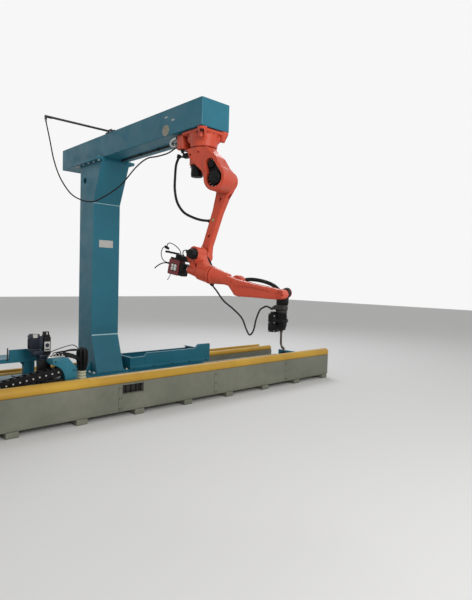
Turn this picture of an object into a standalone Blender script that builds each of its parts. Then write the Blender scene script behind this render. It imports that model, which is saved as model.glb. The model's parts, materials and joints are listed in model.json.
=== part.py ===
"""Inverted welding robot arm on a travelling gantry, on a section of its floor track.

Metres, +Z up. The origin is on the floor straight under the column, +X runs along the track,
and -Y is the side that the beam carries the robot over.
"""
import bmesh
import bpy
import math
from mathutils import Matrix, Vector

# Clearance between pieces that touch, and how far fused shapes run into each other
GAP = 0.0003
LAP = 0.010

# Track
TRACK_START = -2.40
TRACK_END = 3.60
TIE_FIRST = -3
TIE_LAST = 5
TIE_PITCH = 0.70
TIE_WIDTH = 0.12
TIE_HEIGHT = 0.06
TIE_FRONT = -1.00
TIE_REAR = 0.70
SILL_WIDTH = 0.14
SILL_TOP = 0.22
RAIL_FRONT_Y = -0.60
RAIL_REAR_Y = 0.10
RAIL_WIDTH = 0.034
RAIL_TOP = 0.256
RAIL_INSET = 0.06
SIDE_WIDTH = 0.11
SIDE_LOW = TIE_HEIGHT + GAP
GUARD_Y = -0.93
GUARD_Z = 0.413
GUARD_RADIUS = 0.060
FRONT_SIDE_TOP = 0.375
WINDOW_START = -0.217
WINDOW_END = 0.053
REAR_GUARD_Y = 0.32
REAR_GUARD_Z = 0.335
REAR_GUARD_RADIUS = 0.045
REAR_SIDE_TOP = 0.308
EDGE_RAIL_Y = 0.60
EDGE_RAIL_TOP = 0.365
TRAY_FRONT = -0.865
TRAY_REAR = -0.685
TRAY_TOP = 0.239
TRAY_SHEET = 0.004

# Carriage
CARRIAGE_START = -1.25
CARRIAGE_END = 1.43
CARRIAGE_FRONT = -0.70
CARRIAGE_REAR = 0.22
CARRIAGE_LOW = 0.30
CARRIAGE_TOP = 0.37
DECK_SEAT = CARRIAGE_TOP + GAP
BLOCK_X = 0.95
BLOCK_LENGTH = 0.18
BLOCK_WIDTH = 0.09
PLATFORM_START = 0.265
PLATFORM_END = 1.59
PLATFORM_FRONT = -0.345
PLATFORM_SHEET = 0.012
SHELF_START = -1.34
SHELF_END = -0.75
SHELF_FRONT = -0.30
SHELF_TOP = 0.615
SHELF_LIP_TOP = 0.74
DRIVE_X = -0.914
DRIVE_Y = -0.50
CHAIN_FRONT = -0.85
CHAIN_REAR = -0.755

# Column and beam
COLUMN_X = 0.184
COLUMN_Y = 0.174
COLUMN_FOOT_Y = -0.335
COLUMN_HEAD_Y = -0.385
FLANGE_LOW = 2.935
FLANGE_X = 0.250
FLANGE_FRONT = -0.390
FLANGE_REAR = 0.230
BEAM_LOW = 2.967
BEAM_HIGH = 3.227
BEAM_X = 0.170
BEAM_FRONT = -2.205
BEAM_REAR = 0.735
BOOM_ROOT = Vector((-0.10, -0.45, 3.262))
BOOM_TIP = Vector((-0.86, -0.35, 3.285))
BOOM_RADIUS = 0.0125
CONDUIT_RADIUS = 0.007

# Robot arm. Its own frame hangs from the beam at the first axis: forward, sideways and up
ROBOT_Y = -2.036
ROBOT_TURN = math.radians(-75.0)
BASE_HALF = 0.13
BASE_FOOT_HALF = 0.155
TURRET_TOP = -0.165
SHOULDER = Vector((0.210, 0.0, -0.470))
TURRET_NEAR = -0.13
MOTOR_SEAT_DEPTH = 0.05
ARM_NEAR = 0.068
ARM_FAR = 0.157
ARM_GAP = 0.005
ELBOW = Vector((-0.040, 0.0, -1.190))
ELBOW_NEAR = -0.10
ELBOW_HALF = 0.058
FOREARM_PITCH = math.radians(10.9)
ELBOW_LEAD = 0.086
ELBOW_DROP = 0.147
WRIST_REACH = 0.885
BAR_FAR = 0.052
WRIST_FAR = 0.105
TORCH_RADIUS = 0.034


def fresh_scene():
    for thing in list(bpy.data.objects):
        bpy.data.objects.remove(thing, do_unlink=True)


def new_collection(name):
    collection = bpy.data.collections.new(name)
    bpy.context.scene.collection.children.link(collection)
    return collection


fresh_scene()
PARTS = new_collection("gantry_robot_arm")
GUIDES = new_collection("cutters_and_guides")

# Finishes: colour, roughness, metallic
TEAL = ((0.030, 0.150, 0.215), 0.45, 0.0)
ORANGE = ((0.680, 0.080, 0.040), 0.40, 0.0)
YELLOW = ((0.720, 0.420, 0.035), 0.50, 0.0)
CREAM = ((0.420, 0.420, 0.350), 0.60, 0.0)
BLACK = ((0.020, 0.020, 0.022), 0.55, 0.0)
NAVY = ((0.015, 0.025, 0.050), 0.45, 0.0)
STEEL = ((0.450, 0.450, 0.440), 0.35, 1.0)
MAROON = ((0.250, 0.040, 0.050), 0.50, 0.0)
COPPER = ((0.500, 0.260, 0.120), 0.40, 1.0)


def finish_of(name, colour, roughness, metallic):
    material = bpy.data.materials.new(name)
    material.use_nodes = True
    shader = material.node_tree.nodes["Principled BSDF"]
    shader.inputs["Base Color"].default_value = (*colour, 1.0)
    shader.inputs["Roughness"].default_value = roughness
    shader.inputs["Metallic"].default_value = metallic
    return material


def keep(obj, paint, frame=None):
    """Put an object with the parts, give it its own material and hang it on its frame."""
    PARTS.objects.link(obj)
    obj.data.materials.clear()
    obj.data.materials.append(finish_of(obj.name + "_finish", *paint))
    obj.parent = frame
    return obj


def guide(obj, frame=None):
    """Put an object with the cutters, out of sight."""
    GUIDES.objects.link(obj)
    obj.hide_render = True
    obj.display_type = "WIRE"
    obj.parent = frame
    return obj


def frame_at(name, location, parent=None, rotation=(0.0, 0.0, 0.0)):
    """An empty at a mounting point or with its origin on a joint's axis."""
    empty = bpy.data.objects.new(name, None)
    bpy.context.scene.collection.objects.link(empty)
    empty.location = location
    empty.rotation_euler = rotation
    empty.parent = parent
    return empty


def object_from(name, bm):
    mesh = bpy.data.meshes.new(name)
    bm.to_mesh(mesh)
    bm.free()
    return bpy.data.objects.new(name, mesh)


def round_edges(obj, width, segments=2):
    rounding = obj.modifiers.new("rounded_edges", "BEVEL")
    rounding.width = width
    rounding.segments = segments
    rounding.limit_method = "ANGLE"


def block(name, low, high, edge=0.0):
    """A box between two corners, with its edges rounded where edge is given."""
    low = Vector(low)
    high = Vector(high)
    bm = bmesh.new()
    bmesh.ops.create_cube(bm, size=1.0)
    bmesh.ops.scale(bm, vec=high - low, verts=bm.verts)
    bmesh.ops.translate(bm, vec=(low + high) / 2, verts=bm.verts)
    obj = object_from(name, bm)
    if edge:
        round_edges(obj, edge)
    return obj


def cone(name, start, end, radius_start, radius_end, sides=24):
    """A round bar or cone from one point to another."""
    start = Vector(start)
    end = Vector(end)
    run = end - start
    bm = bmesh.new()
    bmesh.ops.create_cone(bm, cap_ends=True, cap_tris=False, segments=sides,
                          radius1=radius_start, radius2=radius_end, depth=run.length)
    turn = Vector((0.0, 0.0, 1.0)).rotation_difference(run.normalized()).to_matrix().to_4x4()
    bmesh.ops.transform(bm, matrix=Matrix.Translation((start + end) / 2) @ turn, verts=bm.verts)
    obj = object_from(name, bm)
    obj.data.shade_smooth()
    obj.data.set_sharp_from_angle(angle=math.radians(35))
    return obj


def rod(name, start, end, radius, sides=24):
    return cone(name, start, end, radius, radius, sides)


def arc(centre, radius, first, last, steps):
    """Points on an arc, with the angles in degrees."""
    points = []
    for step in range(steps + 1):
        angle = math.radians(first + (last - first) * step / steps)
        points.append((centre[0] + radius * math.cos(angle), centre[1] + radius * math.sin(angle)))
    return points


def mesh_from_curve(curve_object):
    """The curve's own solid as a welded mesh object, in place of the curve."""
    GUIDES.objects.link(curve_object)
    bpy.context.view_layer.update()
    evaluated = curve_object.evaluated_get(bpy.context.evaluated_depsgraph_get())
    mesh = bpy.data.meshes.new_from_object(evaluated)
    bm = bmesh.new()
    bm.from_mesh(mesh)
    bmesh.ops.remove_doubles(bm, verts=bm.verts, dist=0.00002)
    bm.to_mesh(mesh)
    bm.free()
    name = curve_object.name
    place = curve_object.matrix_world.copy()
    bpy.data.objects.remove(curve_object, do_unlink=True)
    solid = bpy.data.objects.new(name, mesh)
    solid.matrix_world = place
    return solid


# How a flat outline is turned to be given its thickness along X, Y or Z
OUTLINE_TURNS = {
    "X": Matrix(((0, 0, 1, 0), (1, 0, 0, 0), (0, 1, 0, 0), (0, 0, 0, 1))),
    "Y": Matrix(((1, 0, 0, 0), (0, 0, -1, 0), (0, 1, 0, 0), (0, 0, 0, 1))),
}
DIRECTIONS = {"X": Vector((1.0, 0.0, 0.0)), "Y": Vector((0.0, 1.0, 0.0))}


def plate(name, outline, low, high, along="Y", edge=0.0):
    """A flat outline, (x, z) along Y or (y, z) along X, given thickness from low to high."""
    curve = bpy.data.curves.new(name, "CURVE")
    curve.dimensions = "2D"
    curve.fill_mode = "BOTH"
    curve.extrude = (high - low) / 2
    spline = curve.splines.new("POLY")
    spline.points.add(len(outline) - 1)
    for point, (across, up) in zip(spline.points, outline):
        point.co = (across, up, 0.0, 1.0)
    spline.use_cyclic_u = True
    solid = mesh_from_curve(bpy.data.objects.new(name, curve))
    middle = Matrix.Translation(DIRECTIONS[along] * (low + high) / 2)
    solid.data.transform(middle @ OUTLINE_TURNS[along])
    if edge:
        round_edges(solid, edge)
    return solid


def smooth_route(points, spacing):
    """Evenly spaced points on a smooth curve through the route's own points."""
    knots = [Vector(point) for point in points]
    knots = [knots[0] * 2 - knots[1]] + knots + [knots[-1] * 2 - knots[-2]]
    steps = 24
    fine = []
    for i in range(1, len(knots) - 2):
        a, b, c, d = knots[i - 1:i + 3]
        for step in range(steps):
            t = step / steps
            fine.append(0.5 * (2 * b + (c - a) * t + (2 * a - 5 * b + 4 * c - d) * t ** 2
                               + (3 * b - a - 3 * c + d) * t ** 3))
    fine.append(knots[-2])
    lengths = [0.0]
    for before, after in zip(fine, fine[1:]):
        lengths.append(lengths[-1] + (after - before).length)
    count = max(4, round(lengths[-1] / spacing))
    route = []
    reach = 0
    for step in range(count + 1):
        want = lengths[-1] * step / count
        while reach < len(fine) - 2 and lengths[reach + 1] < want:
            reach += 1
        share = (want - lengths[reach]) / (lengths[reach + 1] - lengths[reach])
        route.append(fine[reach].lerp(fine[reach + 1], share))
    return route


def hose(name, points, radius, paint, frame=None, spacing=0.03):
    """A cable or hose along a smooth route, as a POLY spline with filled caps."""
    curve = bpy.data.curves.new(name, "CURVE")
    curve.dimensions = "3D"
    curve.bevel_depth = radius
    curve.bevel_resolution = 2
    curve.use_fill_caps = True
    route = smooth_route(points, spacing)
    spline = curve.splines.new("POLY")
    spline.points.add(len(route) - 1)
    for point, place in zip(spline.points, route):
        point.co = (*place, 1.0)
    return keep(bpy.data.objects.new(name, curve), paint, frame)


def combine(target, operation, tools):
    """Add or cut the tools, which share the target's frame and stay as hidden guides."""
    for number, tool in enumerate(tools):
        guide(tool, target.parent)
        change = target.modifiers.new(f"{operation.lower()}_{number}", "BOOLEAN")
        change.operation = operation
        change.object = tool
        change.solver = "EXACT"
    return target


def fuse(target, *tools):
    return combine(target, "UNION", tools)


def carve(target, *tools):
    return combine(target, "DIFFERENCE", tools)


# Track: a welded ladder frame, guide rails and a rack, and guard tubes on side beams


def tie_places():
    return [number * TIE_PITCH for number in range(TIE_FIRST, TIE_LAST + 1)]


def track_frame():
    half = SILL_WIDTH / 2
    frame = keep(block("track_frame", (TRACK_START, RAIL_FRONT_Y - half, 0.0),
                       (TRACK_END, RAIL_FRONT_Y + half, SILL_TOP)), CREAM)
    rear = block("rear_sill", (TRACK_START, RAIL_REAR_Y - half, 0.0),
                 (TRACK_END, RAIL_REAR_Y + half, SILL_TOP))
    ties = [block(f"tie_{number}", (place - TIE_WIDTH / 2, TIE_FRONT, 0.0),
                  (place + TIE_WIDTH / 2, TIE_REAR, TIE_HEIGHT))
            for number, place in enumerate(tie_places())]
    fuse(frame, rear, *ties)


def guide_rails():
    half = RAIL_WIDTH / 2
    waist = half - 0.006
    foot_top = SILL_TOP + 0.012
    head_low = RAIL_TOP - 0.006
    for name, middle in (("front_guide_rail", RAIL_FRONT_Y), ("rear_guide_rail", RAIL_REAR_Y)):
        right = [(half, SILL_TOP + GAP), (half, foot_top), (waist, foot_top + 0.006), (half, head_low),
                 (half, RAIL_TOP)]
        left = [(-across, up) for across, up in reversed(right)]
        outline = [(middle + across, up) for across, up in right + left]
        keep(plate(name, outline, TRACK_START + RAIL_INSET, TRACK_END - RAIL_INSET, "X"), STEEL)


def gear_rack():
    side = RAIL_FRONT_Y + SILL_WIDTH / 2
    keep(block("gear_rack", (TRACK_START + RAIL_INSET, side + GAP, SILL_TOP - 0.045),
               (TRACK_END - RAIL_INSET, side + 0.030, SILL_TOP - 0.005)), STEEL)


def guard(name, across, up, radius):
    """A yellow guard tube, and the seat that it leaves in the beam under it."""
    tube = rod(name, (TRACK_START, across, up), (TRACK_END, across, up), radius, 32)
    overhang = 0.1
    seat = rod(name + "_seat", (TRACK_START - overhang, across, up),
               (TRACK_END + overhang, across, up), radius + GAP, 32)
    return tube, seat


def front_side():
    half = SIDE_WIDTH / 2
    beam = keep(block("front_side_beam", (TRACK_START, GUARD_Y - half, SIDE_LOW),
                      (TRACK_END, GUARD_Y + half, FRONT_SIDE_TOP)), CREAM)
    tube, seat = guard("front_guard_tube", GUARD_Y, GUARD_Z, GUARD_RADIUS)
    window = block("front_window", (WINDOW_START, GUARD_Y - half - LAP, 0.255),
                   (WINDOW_END, GUARD_Y, 0.355))
    carve(beam, seat, window)
    keep(tube, YELLOW)


def rear_side():
    half = SIDE_WIDTH / 2
    beam = keep(block("rear_side_beam", (TRACK_START, REAR_GUARD_Y - half, SIDE_LOW),
                      (TRACK_END, REAR_GUARD_Y + half, REAR_SIDE_TOP)), CREAM)
    tube, seat = guard("rear_guard_tube", REAR_GUARD_Y, REAR_GUARD_Z, REAR_GUARD_RADIUS)
    carve(beam, seat)
    keep(tube, YELLOW)


def rear_edge():
    rail_low = EDGE_RAIL_TOP - 0.06
    rail_half = 0.03
    post_half = 0.02
    rail = keep(block("rear_edge_rail", (TRACK_START, EDGE_RAIL_Y - rail_half, rail_low),
                      (TRACK_END, EDGE_RAIL_Y + rail_half, EDGE_RAIL_TOP)), YELLOW)
    posts = [block(f"edge_post_{number}", (place - TIE_WIDTH / 2, EDGE_RAIL_Y - post_half, SIDE_LOW),
                   (place + TIE_WIDTH / 2, EDGE_RAIL_Y + post_half, rail_low + LAP))
             for number, place in enumerate(tie_places())]
    fuse(rail, *posts)


def chain_tray():
    """A folded sheet: foot on the ties, web, floor and a lip at the front."""
    web = TRAY_REAR - 0.02
    foot = web - 0.05
    lip_top = TRAY_TOP + 0.046
    outline = [(foot, SIDE_LOW), (web, SIDE_LOW), (web, TRAY_TOP - TRAY_SHEET),
               (TRAY_REAR, TRAY_TOP - TRAY_SHEET), (TRAY_REAR, TRAY_TOP),
               (TRAY_FRONT + TRAY_SHEET, TRAY_TOP), (TRAY_FRONT + TRAY_SHEET, lip_top),
               (TRAY_FRONT, lip_top), (TRAY_FRONT, TRAY_TOP - TRAY_SHEET),
               (web - TRAY_SHEET, TRAY_TOP - TRAY_SHEET), (web - TRAY_SHEET, SIDE_LOW + TRAY_SHEET),
               (foot, SIDE_LOW + TRAY_SHEET)]
    keep(plate("chain_tray", outline, TRACK_START, TRACK_END, "X"), CREAM)


def end_stops():
    low = SILL_TOP + GAP
    thickness = 0.03
    reach = 0.03
    for name, start in (("left_end_stop", TRACK_START + 0.02), ("right_end_stop", TRACK_END - 0.05)):
        stop = keep(block(name, (start, RAIL_FRONT_Y + 0.05, low),
                          (start + thickness, RAIL_REAR_Y - 0.05, low + 0.12)), TEAL)
        foot = block(name + "_foot", (start, RAIL_FRONT_Y + reach, low),
                     (start + thickness, RAIL_REAR_Y - reach, low + 0.012))
        fuse(stop, foot)


# Carriage: a deck on four guide blocks, side platforms, the travel drive and the cable chain


def carriage_deck():
    deck = keep(block("carriage_deck", (CARRIAGE_START, CARRIAGE_FRONT, CARRIAGE_LOW),
                      (CARRIAGE_END, CARRIAGE_REAR, CARRIAGE_TOP), edge=0.006), TEAL)
    block_low = SILL_TOP + 0.006
    slack = 0.002
    half = RAIL_WIDTH / 2 + slack
    slides = []
    grooves = []
    for rail in (RAIL_FRONT_Y, RAIL_REAR_Y):
        for place in (-BLOCK_X, BLOCK_X):
            slides.append(block("guide_block", (place - BLOCK_LENGTH / 2, rail - BLOCK_WIDTH / 2, block_low),
                                (place + BLOCK_LENGTH / 2, rail + BLOCK_WIDTH / 2, CARRIAGE_LOW + LAP)))
        grooves.append(block("block_groove", (CARRIAGE_START, rail - half, SILL_TOP),
                             (CARRIAGE_END, rail + half, RAIL_TOP + slack)))
    fuse(deck, *slides)
    carve(deck, *grooves)


def right_platform():
    """A tray for the welding equipment, whose front sheet steps up towards the right."""
    step_top = 0.53
    panel_top = 0.572
    ear_top = 0.625
    outline = [(PLATFORM_START, DECK_SEAT), (PLATFORM_END, DECK_SEAT), (PLATFORM_END, ear_top),
               (1.387, ear_top), (1.325, panel_top), (0.526, panel_top), (0.484, step_top),
               (PLATFORM_START, step_top)]
    side = keep(plate("right_platform", outline, PLATFORM_FRONT, PLATFORM_FRONT + PLATFORM_SHEET), TEAL)
    floor = block("right_floor", (PLATFORM_START, PLATFORM_FRONT + PLATFORM_SHEET / 2, DECK_SEAT),
                  (PLATFORM_END, CARRIAGE_REAR, CARRIAGE_TOP + 0.03))
    back = block("right_back", (PLATFORM_START, CARRIAGE_REAR - PLATFORM_SHEET, DECK_SEAT),
                 (PLATFORM_END, CARRIAGE_REAR, 0.50))
    left_end = block("left_end", (PLATFORM_START, PLATFORM_FRONT, DECK_SEAT),
                     (PLATFORM_START + PLATFORM_SHEET, CARRIAGE_REAR, step_top))
    right_end = block("right_end", (PLATFORM_END - PLATFORM_SHEET, PLATFORM_FRONT, DECK_SEAT),
                      (PLATFORM_END, CARRIAGE_REAR, step_top))
    fuse(side, floor, back, left_end, right_end)


def left_platform():
    """A shelf for the wire drum, on four legs, whose front lip is lower at its left end."""
    shelf_low = SHELF_TOP - 0.015
    leg = 0.06
    shelf = keep(block("left_platform", (SHELF_START, SHELF_FRONT, shelf_low),
                       (SHELF_END, CARRIAGE_REAR, SHELF_TOP)), TEAL)
    low_lip = block("left_low_lip", (SHELF_START, SHELF_FRONT, shelf_low),
                    (SHELF_END, SHELF_FRONT + PLATFORM_SHEET, 0.645))
    lip = block("left_lip", (-1.195, SHELF_FRONT, shelf_low),
                (SHELF_END, SHELF_FRONT + PLATFORM_SHEET, SHELF_LIP_TOP))
    corners = [(-1.03, -0.28), (-0.81, -0.28), (-1.24, 0.14), (-0.81, 0.14)]
    legs = [block(f"left_leg_{number}", (x, y, DECK_SEAT), (x + leg, y + leg, shelf_low + LAP))
            for number, (x, y) in enumerate(corners)]
    fuse(shelf, low_lip, lip, *legs)


def travel_drive():
    """A gearbox on the deck, whose head carries the motor to the left of the grease pump."""
    gearbox_top = 0.70
    gearbox_half = 0.055
    head_top = 0.75
    gearbox = keep(block("drive_gearbox", (DRIVE_X - gearbox_half, DRIVE_Y - gearbox_half, DECK_SEAT),
                         (DRIVE_X + gearbox_half, DRIVE_Y + gearbox_half, gearbox_top), edge=0.006), NAVY)
    flange = block("drive_flange", (DRIVE_X - 0.09, DRIVE_Y - 0.085, DECK_SEAT),
                   (DRIVE_X + 0.09, DRIVE_Y + 0.085, DECK_SEAT + 0.02))
    head = block("drive_head", (DRIVE_X - 0.122, DRIVE_Y - 0.05, gearbox_top - LAP),
                 (DRIVE_X - 0.007, DRIVE_Y + 0.05, head_top))
    fuse(gearbox, flange, head)
    keep(block("drive_motor", (DRIVE_X - 0.152, DRIVE_Y - 0.052, head_top + GAP),
               (DRIVE_X - 0.048, DRIVE_Y + 0.052, 0.935), edge=0.012), NAVY)


def grease_pump():
    pump = keep(block("grease_pump", (-0.920, -0.539, 0.70 + GAP), (-0.842, -0.461, 0.915), edge=0.006),
                NAVY)
    cap = rod("pump_cap", (-0.884, -0.500, 0.90), (-0.884, -0.500, 0.945), 0.024, 16)
    fuse(pump, cap)


def chain_bracket():
    """A thick plate arch that drags the cable chain along with the carriage."""
    top = 0.695
    heel = -0.704
    toe = -0.955
    foot = TRAY_TOP + 0.096
    outline = [(toe, top), (-0.79, top), (heel, top - 0.10), (heel, foot), (-0.825, foot)]
    outline += arc((-0.985, 0.475), 0.16, 0, 75, 6) + [(toe, 0.633)]
    inner_face = -0.745
    bracket = keep(plate("chain_bracket", outline, -0.86, inner_face), TEAL)
    tongue = block("bracket_tongue", (toe, inner_face - LAP, 0.640), (-0.76, -0.69, 0.680))
    leg = block("bracket_leg", (-0.80, inner_face - LAP, DECK_SEAT), (-0.76, -0.69, 0.660))
    fuse(bracket, tongue, leg)


def cable_chain():
    """The chain's upper run, its bend and the start of its lower run in the tray."""
    low = TRAY_TOP + GAP
    height = 0.11
    end = -1.70
    head = -0.875
    bend = 0.1125
    outer = [(head, 0.575), (-0.905, 0.600), (-1.30, 0.545), (-1.80, 0.467)]
    outer += arc((-1.85, low + bend), bend, 90, 270, 8) + [(end, low), (end, low + height)]
    inner = [(-1.83, 0.352), (-1.80, 0.357), (-1.30, 0.435), (head, 0.502)]
    keep(plate("cable_chain", outer + inner, CHAIN_FRONT, CHAIN_REAR), BLACK)


def hose_loom():
    """The bundle of ribbed hoses that rises through a collar in the deck."""
    x = -0.437
    y = -0.45
    collar_top = 0.47
    loom = keep(rod("hose_loom", (x, y, collar_top), (x, y, 0.73), 0.075, 20), BLACK)
    fuse(loom, rod("loom_collar", (x, y, DECK_SEAT), (x, y, collar_top + LAP), 0.048, 20))


# Column, beam and boom


def column():
    """A box column with a foot and a knee on its front side, welded to its foot plate."""
    post_low = CARRIAGE_TOP + 0.012
    post_top = FLANGE_LOW - GAP
    foot_top = 0.829
    knee_low = 2.45
    outline = [(COLUMN_Y, post_low), (COLUMN_Y, post_top), (COLUMN_HEAD_Y, post_top),
               (-COLUMN_Y, knee_low), (-COLUMN_Y, foot_top), (COLUMN_FOOT_Y, post_low)]
    post = keep(plate("column", outline, -COLUMN_X, COLUMN_X, "X", edge=0.006), TEAL)
    foot_plate = block("column_foot", (-0.26, -0.365, DECK_SEAT), (0.26, 0.215, CARRIAGE_TOP + 0.018))
    hole_y = 0.045
    hole_z = 2.74
    cable_hole = rod("cable_hole", (-COLUMN_X - 0.05, hole_y, hole_z),
                     (-COLUMN_X + 0.04, hole_y, hole_z), 0.035, 24)
    fuse(post, foot_plate)
    carve(post, cable_hole)
    keep(block("column_flange", (-FLANGE_X, FLANGE_FRONT, FLANGE_LOW),
               (FLANGE_X, FLANGE_REAR, BEAM_LOW - GAP)), TEAL)


def beam():
    keep(block("beam", (-BEAM_X, BEAM_FRONT, BEAM_LOW), (BEAM_X, BEAM_REAR, BEAM_HIGH), edge=0.006), TEAL)


def boom():
    """A round bar in a clamp on the beam, with an eye that the conduit hangs from."""
    seat = BEAM_HIGH + GAP
    start = BOOM_ROOT + (BOOM_ROOT - BOOM_TIP).normalized() * 0.05
    bar = keep(rod("boom_rod", start, BOOM_TIP, BOOM_RADIUS, 16), BLACK)
    eye = block("boom_eye", BOOM_TIP + Vector((0.0, -0.012, -0.045)), BOOM_TIP + Vector((0.024, 0.012, 0.0)))
    foot = block("boom_foot", (-0.16, -0.50, seat), (-0.04, -0.40, seat + 0.02))
    saddle = block("boom_saddle", (-0.14, -0.475, seat + 0.01), (-0.06, -0.425, seat + 0.06))
    fuse(bar, eye, foot, saddle)


# Robot base, fixed under the beam end


def robot_base(seat):
    top = -GAP
    lug = 0.14
    base = keep(block("robot_base", (-BASE_HALF, -BASE_HALF, TURRET_TOP + GAP), (BASE_HALF, BASE_HALF, top),
                      edge=0.04), ORANGE, seat)
    foot = block("base_foot", (-BASE_FOOT_HALF, -BASE_FOOT_HALF, -0.035),
                 (BASE_FOOT_HALF, BASE_FOOT_HALF, top))
    lugs = [rod(f"base_lug_{x:+.0f}{y:+.0f}", (x * lug, y * lug, -0.055), (x * lug, y * lug, top), 0.042, 20)
            for x, y in ((-1, -1), (1, -1), (1, 1))]
    fuse(base, foot, *lugs)
    box_start = BASE_FOOT_HALF + GAP
    keep(block("connector_box", (-0.14, box_start, -0.155), (0.10, box_start + 0.09, -0.012), edge=0.012),
         ORANGE, seat)


# Robot turret, turning on the vertical first axis


def turret(axis):
    top = TURRET_TOP - 0.003
    collar_radius = 0.125
    outline = [(-collar_radius, top), (0.135, top), (0.20, -0.26), (0.325, -0.43)]
    outline += arc((SHOULDER.x, SHOULDER.z), 0.125, 18, -150, 14)
    outline += [(0.02, -0.37), (-0.10, -0.27)]
    casting = keep(plate("shoulder_casting", outline, TURRET_NEAR, ARM_NEAR - ARM_GAP, edge=0.018),
                   ORANGE, axis)
    collar = rod("turret_collar", (0.0, 0.0, TURRET_TOP - 0.08), (0.0, 0.0, TURRET_TOP - 0.0005),
                 collar_radius, 32)
    pocket_floor = TURRET_NEAR + MOTOR_SEAT_DEPTH
    lower_pocket = rod("lower_pocket", (SHOULDER.x, TURRET_NEAR - LAP, SHOULDER.z),
                       (SHOULDER.x, pocket_floor, SHOULDER.z), 0.088, 24)
    upper_pocket = rod("upper_pocket", (0.165, TURRET_NEAR - LAP, -0.34), (0.165, pocket_floor, -0.34), 0.060)
    motor_x = -0.06
    motor_y = -0.02
    motor_top = -0.30
    motor_low = -0.43
    motor_radius = 0.062
    motor_pocket = rod("motor_pocket", (motor_x, motor_y, motor_low - 0.07),
                       (motor_x, motor_y, motor_top), motor_radius + 0.004)
    fuse(casting, collar)
    carve(casting, lower_pocket, upper_pocket, motor_pocket)
    keep(rod("first_axis_motor", (motor_x, motor_y, motor_low), (motor_x, motor_y, motor_top - GAP),
             motor_radius), BLACK, axis)
    keep(rod("second_axis_motor", (SHOULDER.x, TURRET_NEAR - 0.004, SHOULDER.z),
             (SHOULDER.x, pocket_floor - GAP, SHOULDER.z), 0.070), BLACK, axis)


# Lower arm, between the second and third axes


def lower_arm(axis):
    drop = ELBOW - SHOULDER
    length = math.hypot(drop.x, drop.z)
    lean = math.atan2(-drop.x, -drop.z)
    neck_z = -length + 0.12
    outline = arc((0, 0), 0.105, 160, 20, 8)
    outline += [(0.068, -0.14), (0.052, -0.30), (0.050, neck_z)]
    outline += arc((0, -length), 0.080, 30, -210, 12)
    outline += [(-0.050, neck_z), (-0.054, -0.30), (-0.072, -0.14)]
    arm = plate("lower_arm", outline, ARM_NEAR, ARM_FAR, edge=0.012)
    arm.data.transform(Matrix.Rotation(lean, 4, "Y"))
    keep(arm, ORANGE, axis)


# Elbow casting, turning on the third axis, with its motor and the wire feeder


def elbow(axis):
    casting = keep(rod("elbow_casting", (0, ELBOW_NEAR, 0), (0, ARM_NEAR - ARM_GAP, 0), 0.075), ORANGE, axis)
    throat = 0.19
    outline = [(-0.060, 0.02), (0.060, 0.04), (throat, -0.09), (throat, -0.15), (0.03, -0.15), (-0.05, -0.10)]
    neck = plate("elbow_neck", outline, -ELBOW_HALF, ELBOW_HALF)
    level = -ELBOW_DROP
    bulge = cone("elbow_bulge", (0.05, 0, level), (0.20, 0, level), 0.078, 0.088, 28)
    tail = cone("elbow_tail", (-0.075, 0, level), (0.08, 0, level), 0.044, 0.062)
    cap = cone("tail_cap", (-0.100, 0, level), (-0.070, 0, level), 0.026, 0.042)
    crown = rod("elbow_crown", (0.010, ELBOW_NEAR + 0.002, 0.036), (0.010, ELBOW_HALF - 0.003, 0.036), 0.060)
    fuse(casting, neck, bulge, tail, cap, crown)
    motor_x = 0.018
    motor_z = 0.020
    keep(rod("third_axis_motor", (motor_x, ELBOW_NEAR - 0.065, motor_z), (motor_x, ELBOW_NEAR - GAP, motor_z),
             0.055), BLACK, axis)


def wire_feeder(axis):
    """The feeder box and its motor, hung under a shelf behind the elbow."""
    shelf_low = -0.0797
    shelf_end = -0.0535
    box_top = shelf_low - GAP
    box_end = -0.17
    keep(block("feeder_bracket", (-0.295, -0.045, shelf_low), (shelf_end, 0.045, -0.062)), BLACK, axis)
    keep(block("wire_feeder", (-0.305, -0.055, -0.235), (box_end, 0.055, box_top), edge=0.008), MAROON, axis)
    keep(block("feeder_motor", (box_end + GAP, -0.045, -0.232), (-0.105, 0.050, -0.105), edge=0.008),
         BLACK, axis)


# Forearm, turning on the fourth axis, which runs along it


def forearm(axis):
    root = keep(cone("forearm", (0.118, 0, 0), (0.32, 0, 0), 0.084, 0.050, 28), ORANGE, axis)
    outline = [(0.27, 0.030), (0.40, 0.022), (0.60, 0.020), (0.80, 0.026)]
    outline += arc((WRIST_REACH, -0.015), 0.045, 90, -90, 10)
    outline += [(0.84, -0.072), (0.47, -0.132), (0.43, -0.130), (0.345, -0.056), (0.27, -0.050)]
    bar = plate("forearm_bar", outline, -ELBOW_HALF, BAR_FAR, edge=0.010)
    cover = rod("forearm_cover", (0.385, 0.0, -0.012), (0.385, 0.095, -0.012), 0.068, 28)
    fuse(root, bar, cover)


# Wrist, turning on the fifth axis, and the torch, turning on the sixth


def wrist(axis):
    """A hub beside the forearm's end, and the shelf under it that carries the tool."""
    hub = keep(rod("wrist_housing", (0, BAR_FAR + 0.006, 0), (0, WRIST_FAR, 0), 0.050, 28), ORANGE, axis)
    shelf_far = WRIST_FAR - 0.005
    bracket = block("wrist_bracket", (-0.095, BAR_FAR + 0.008, -0.150), (-0.035, shelf_far, 0.01))
    shelf_low = -0.150
    shelf_top = -0.105
    shelf_outline = [(-0.095, shelf_low), (0.045, shelf_low), (0.045, shelf_top), (-0.055, shelf_top),
                     (-0.095, shelf_low + 0.012)]
    shelf = plate("wrist_shelf", shelf_outline, -0.045, shelf_far, edge=0.005)
    fuse(hub, bracket, shelf)


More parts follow.
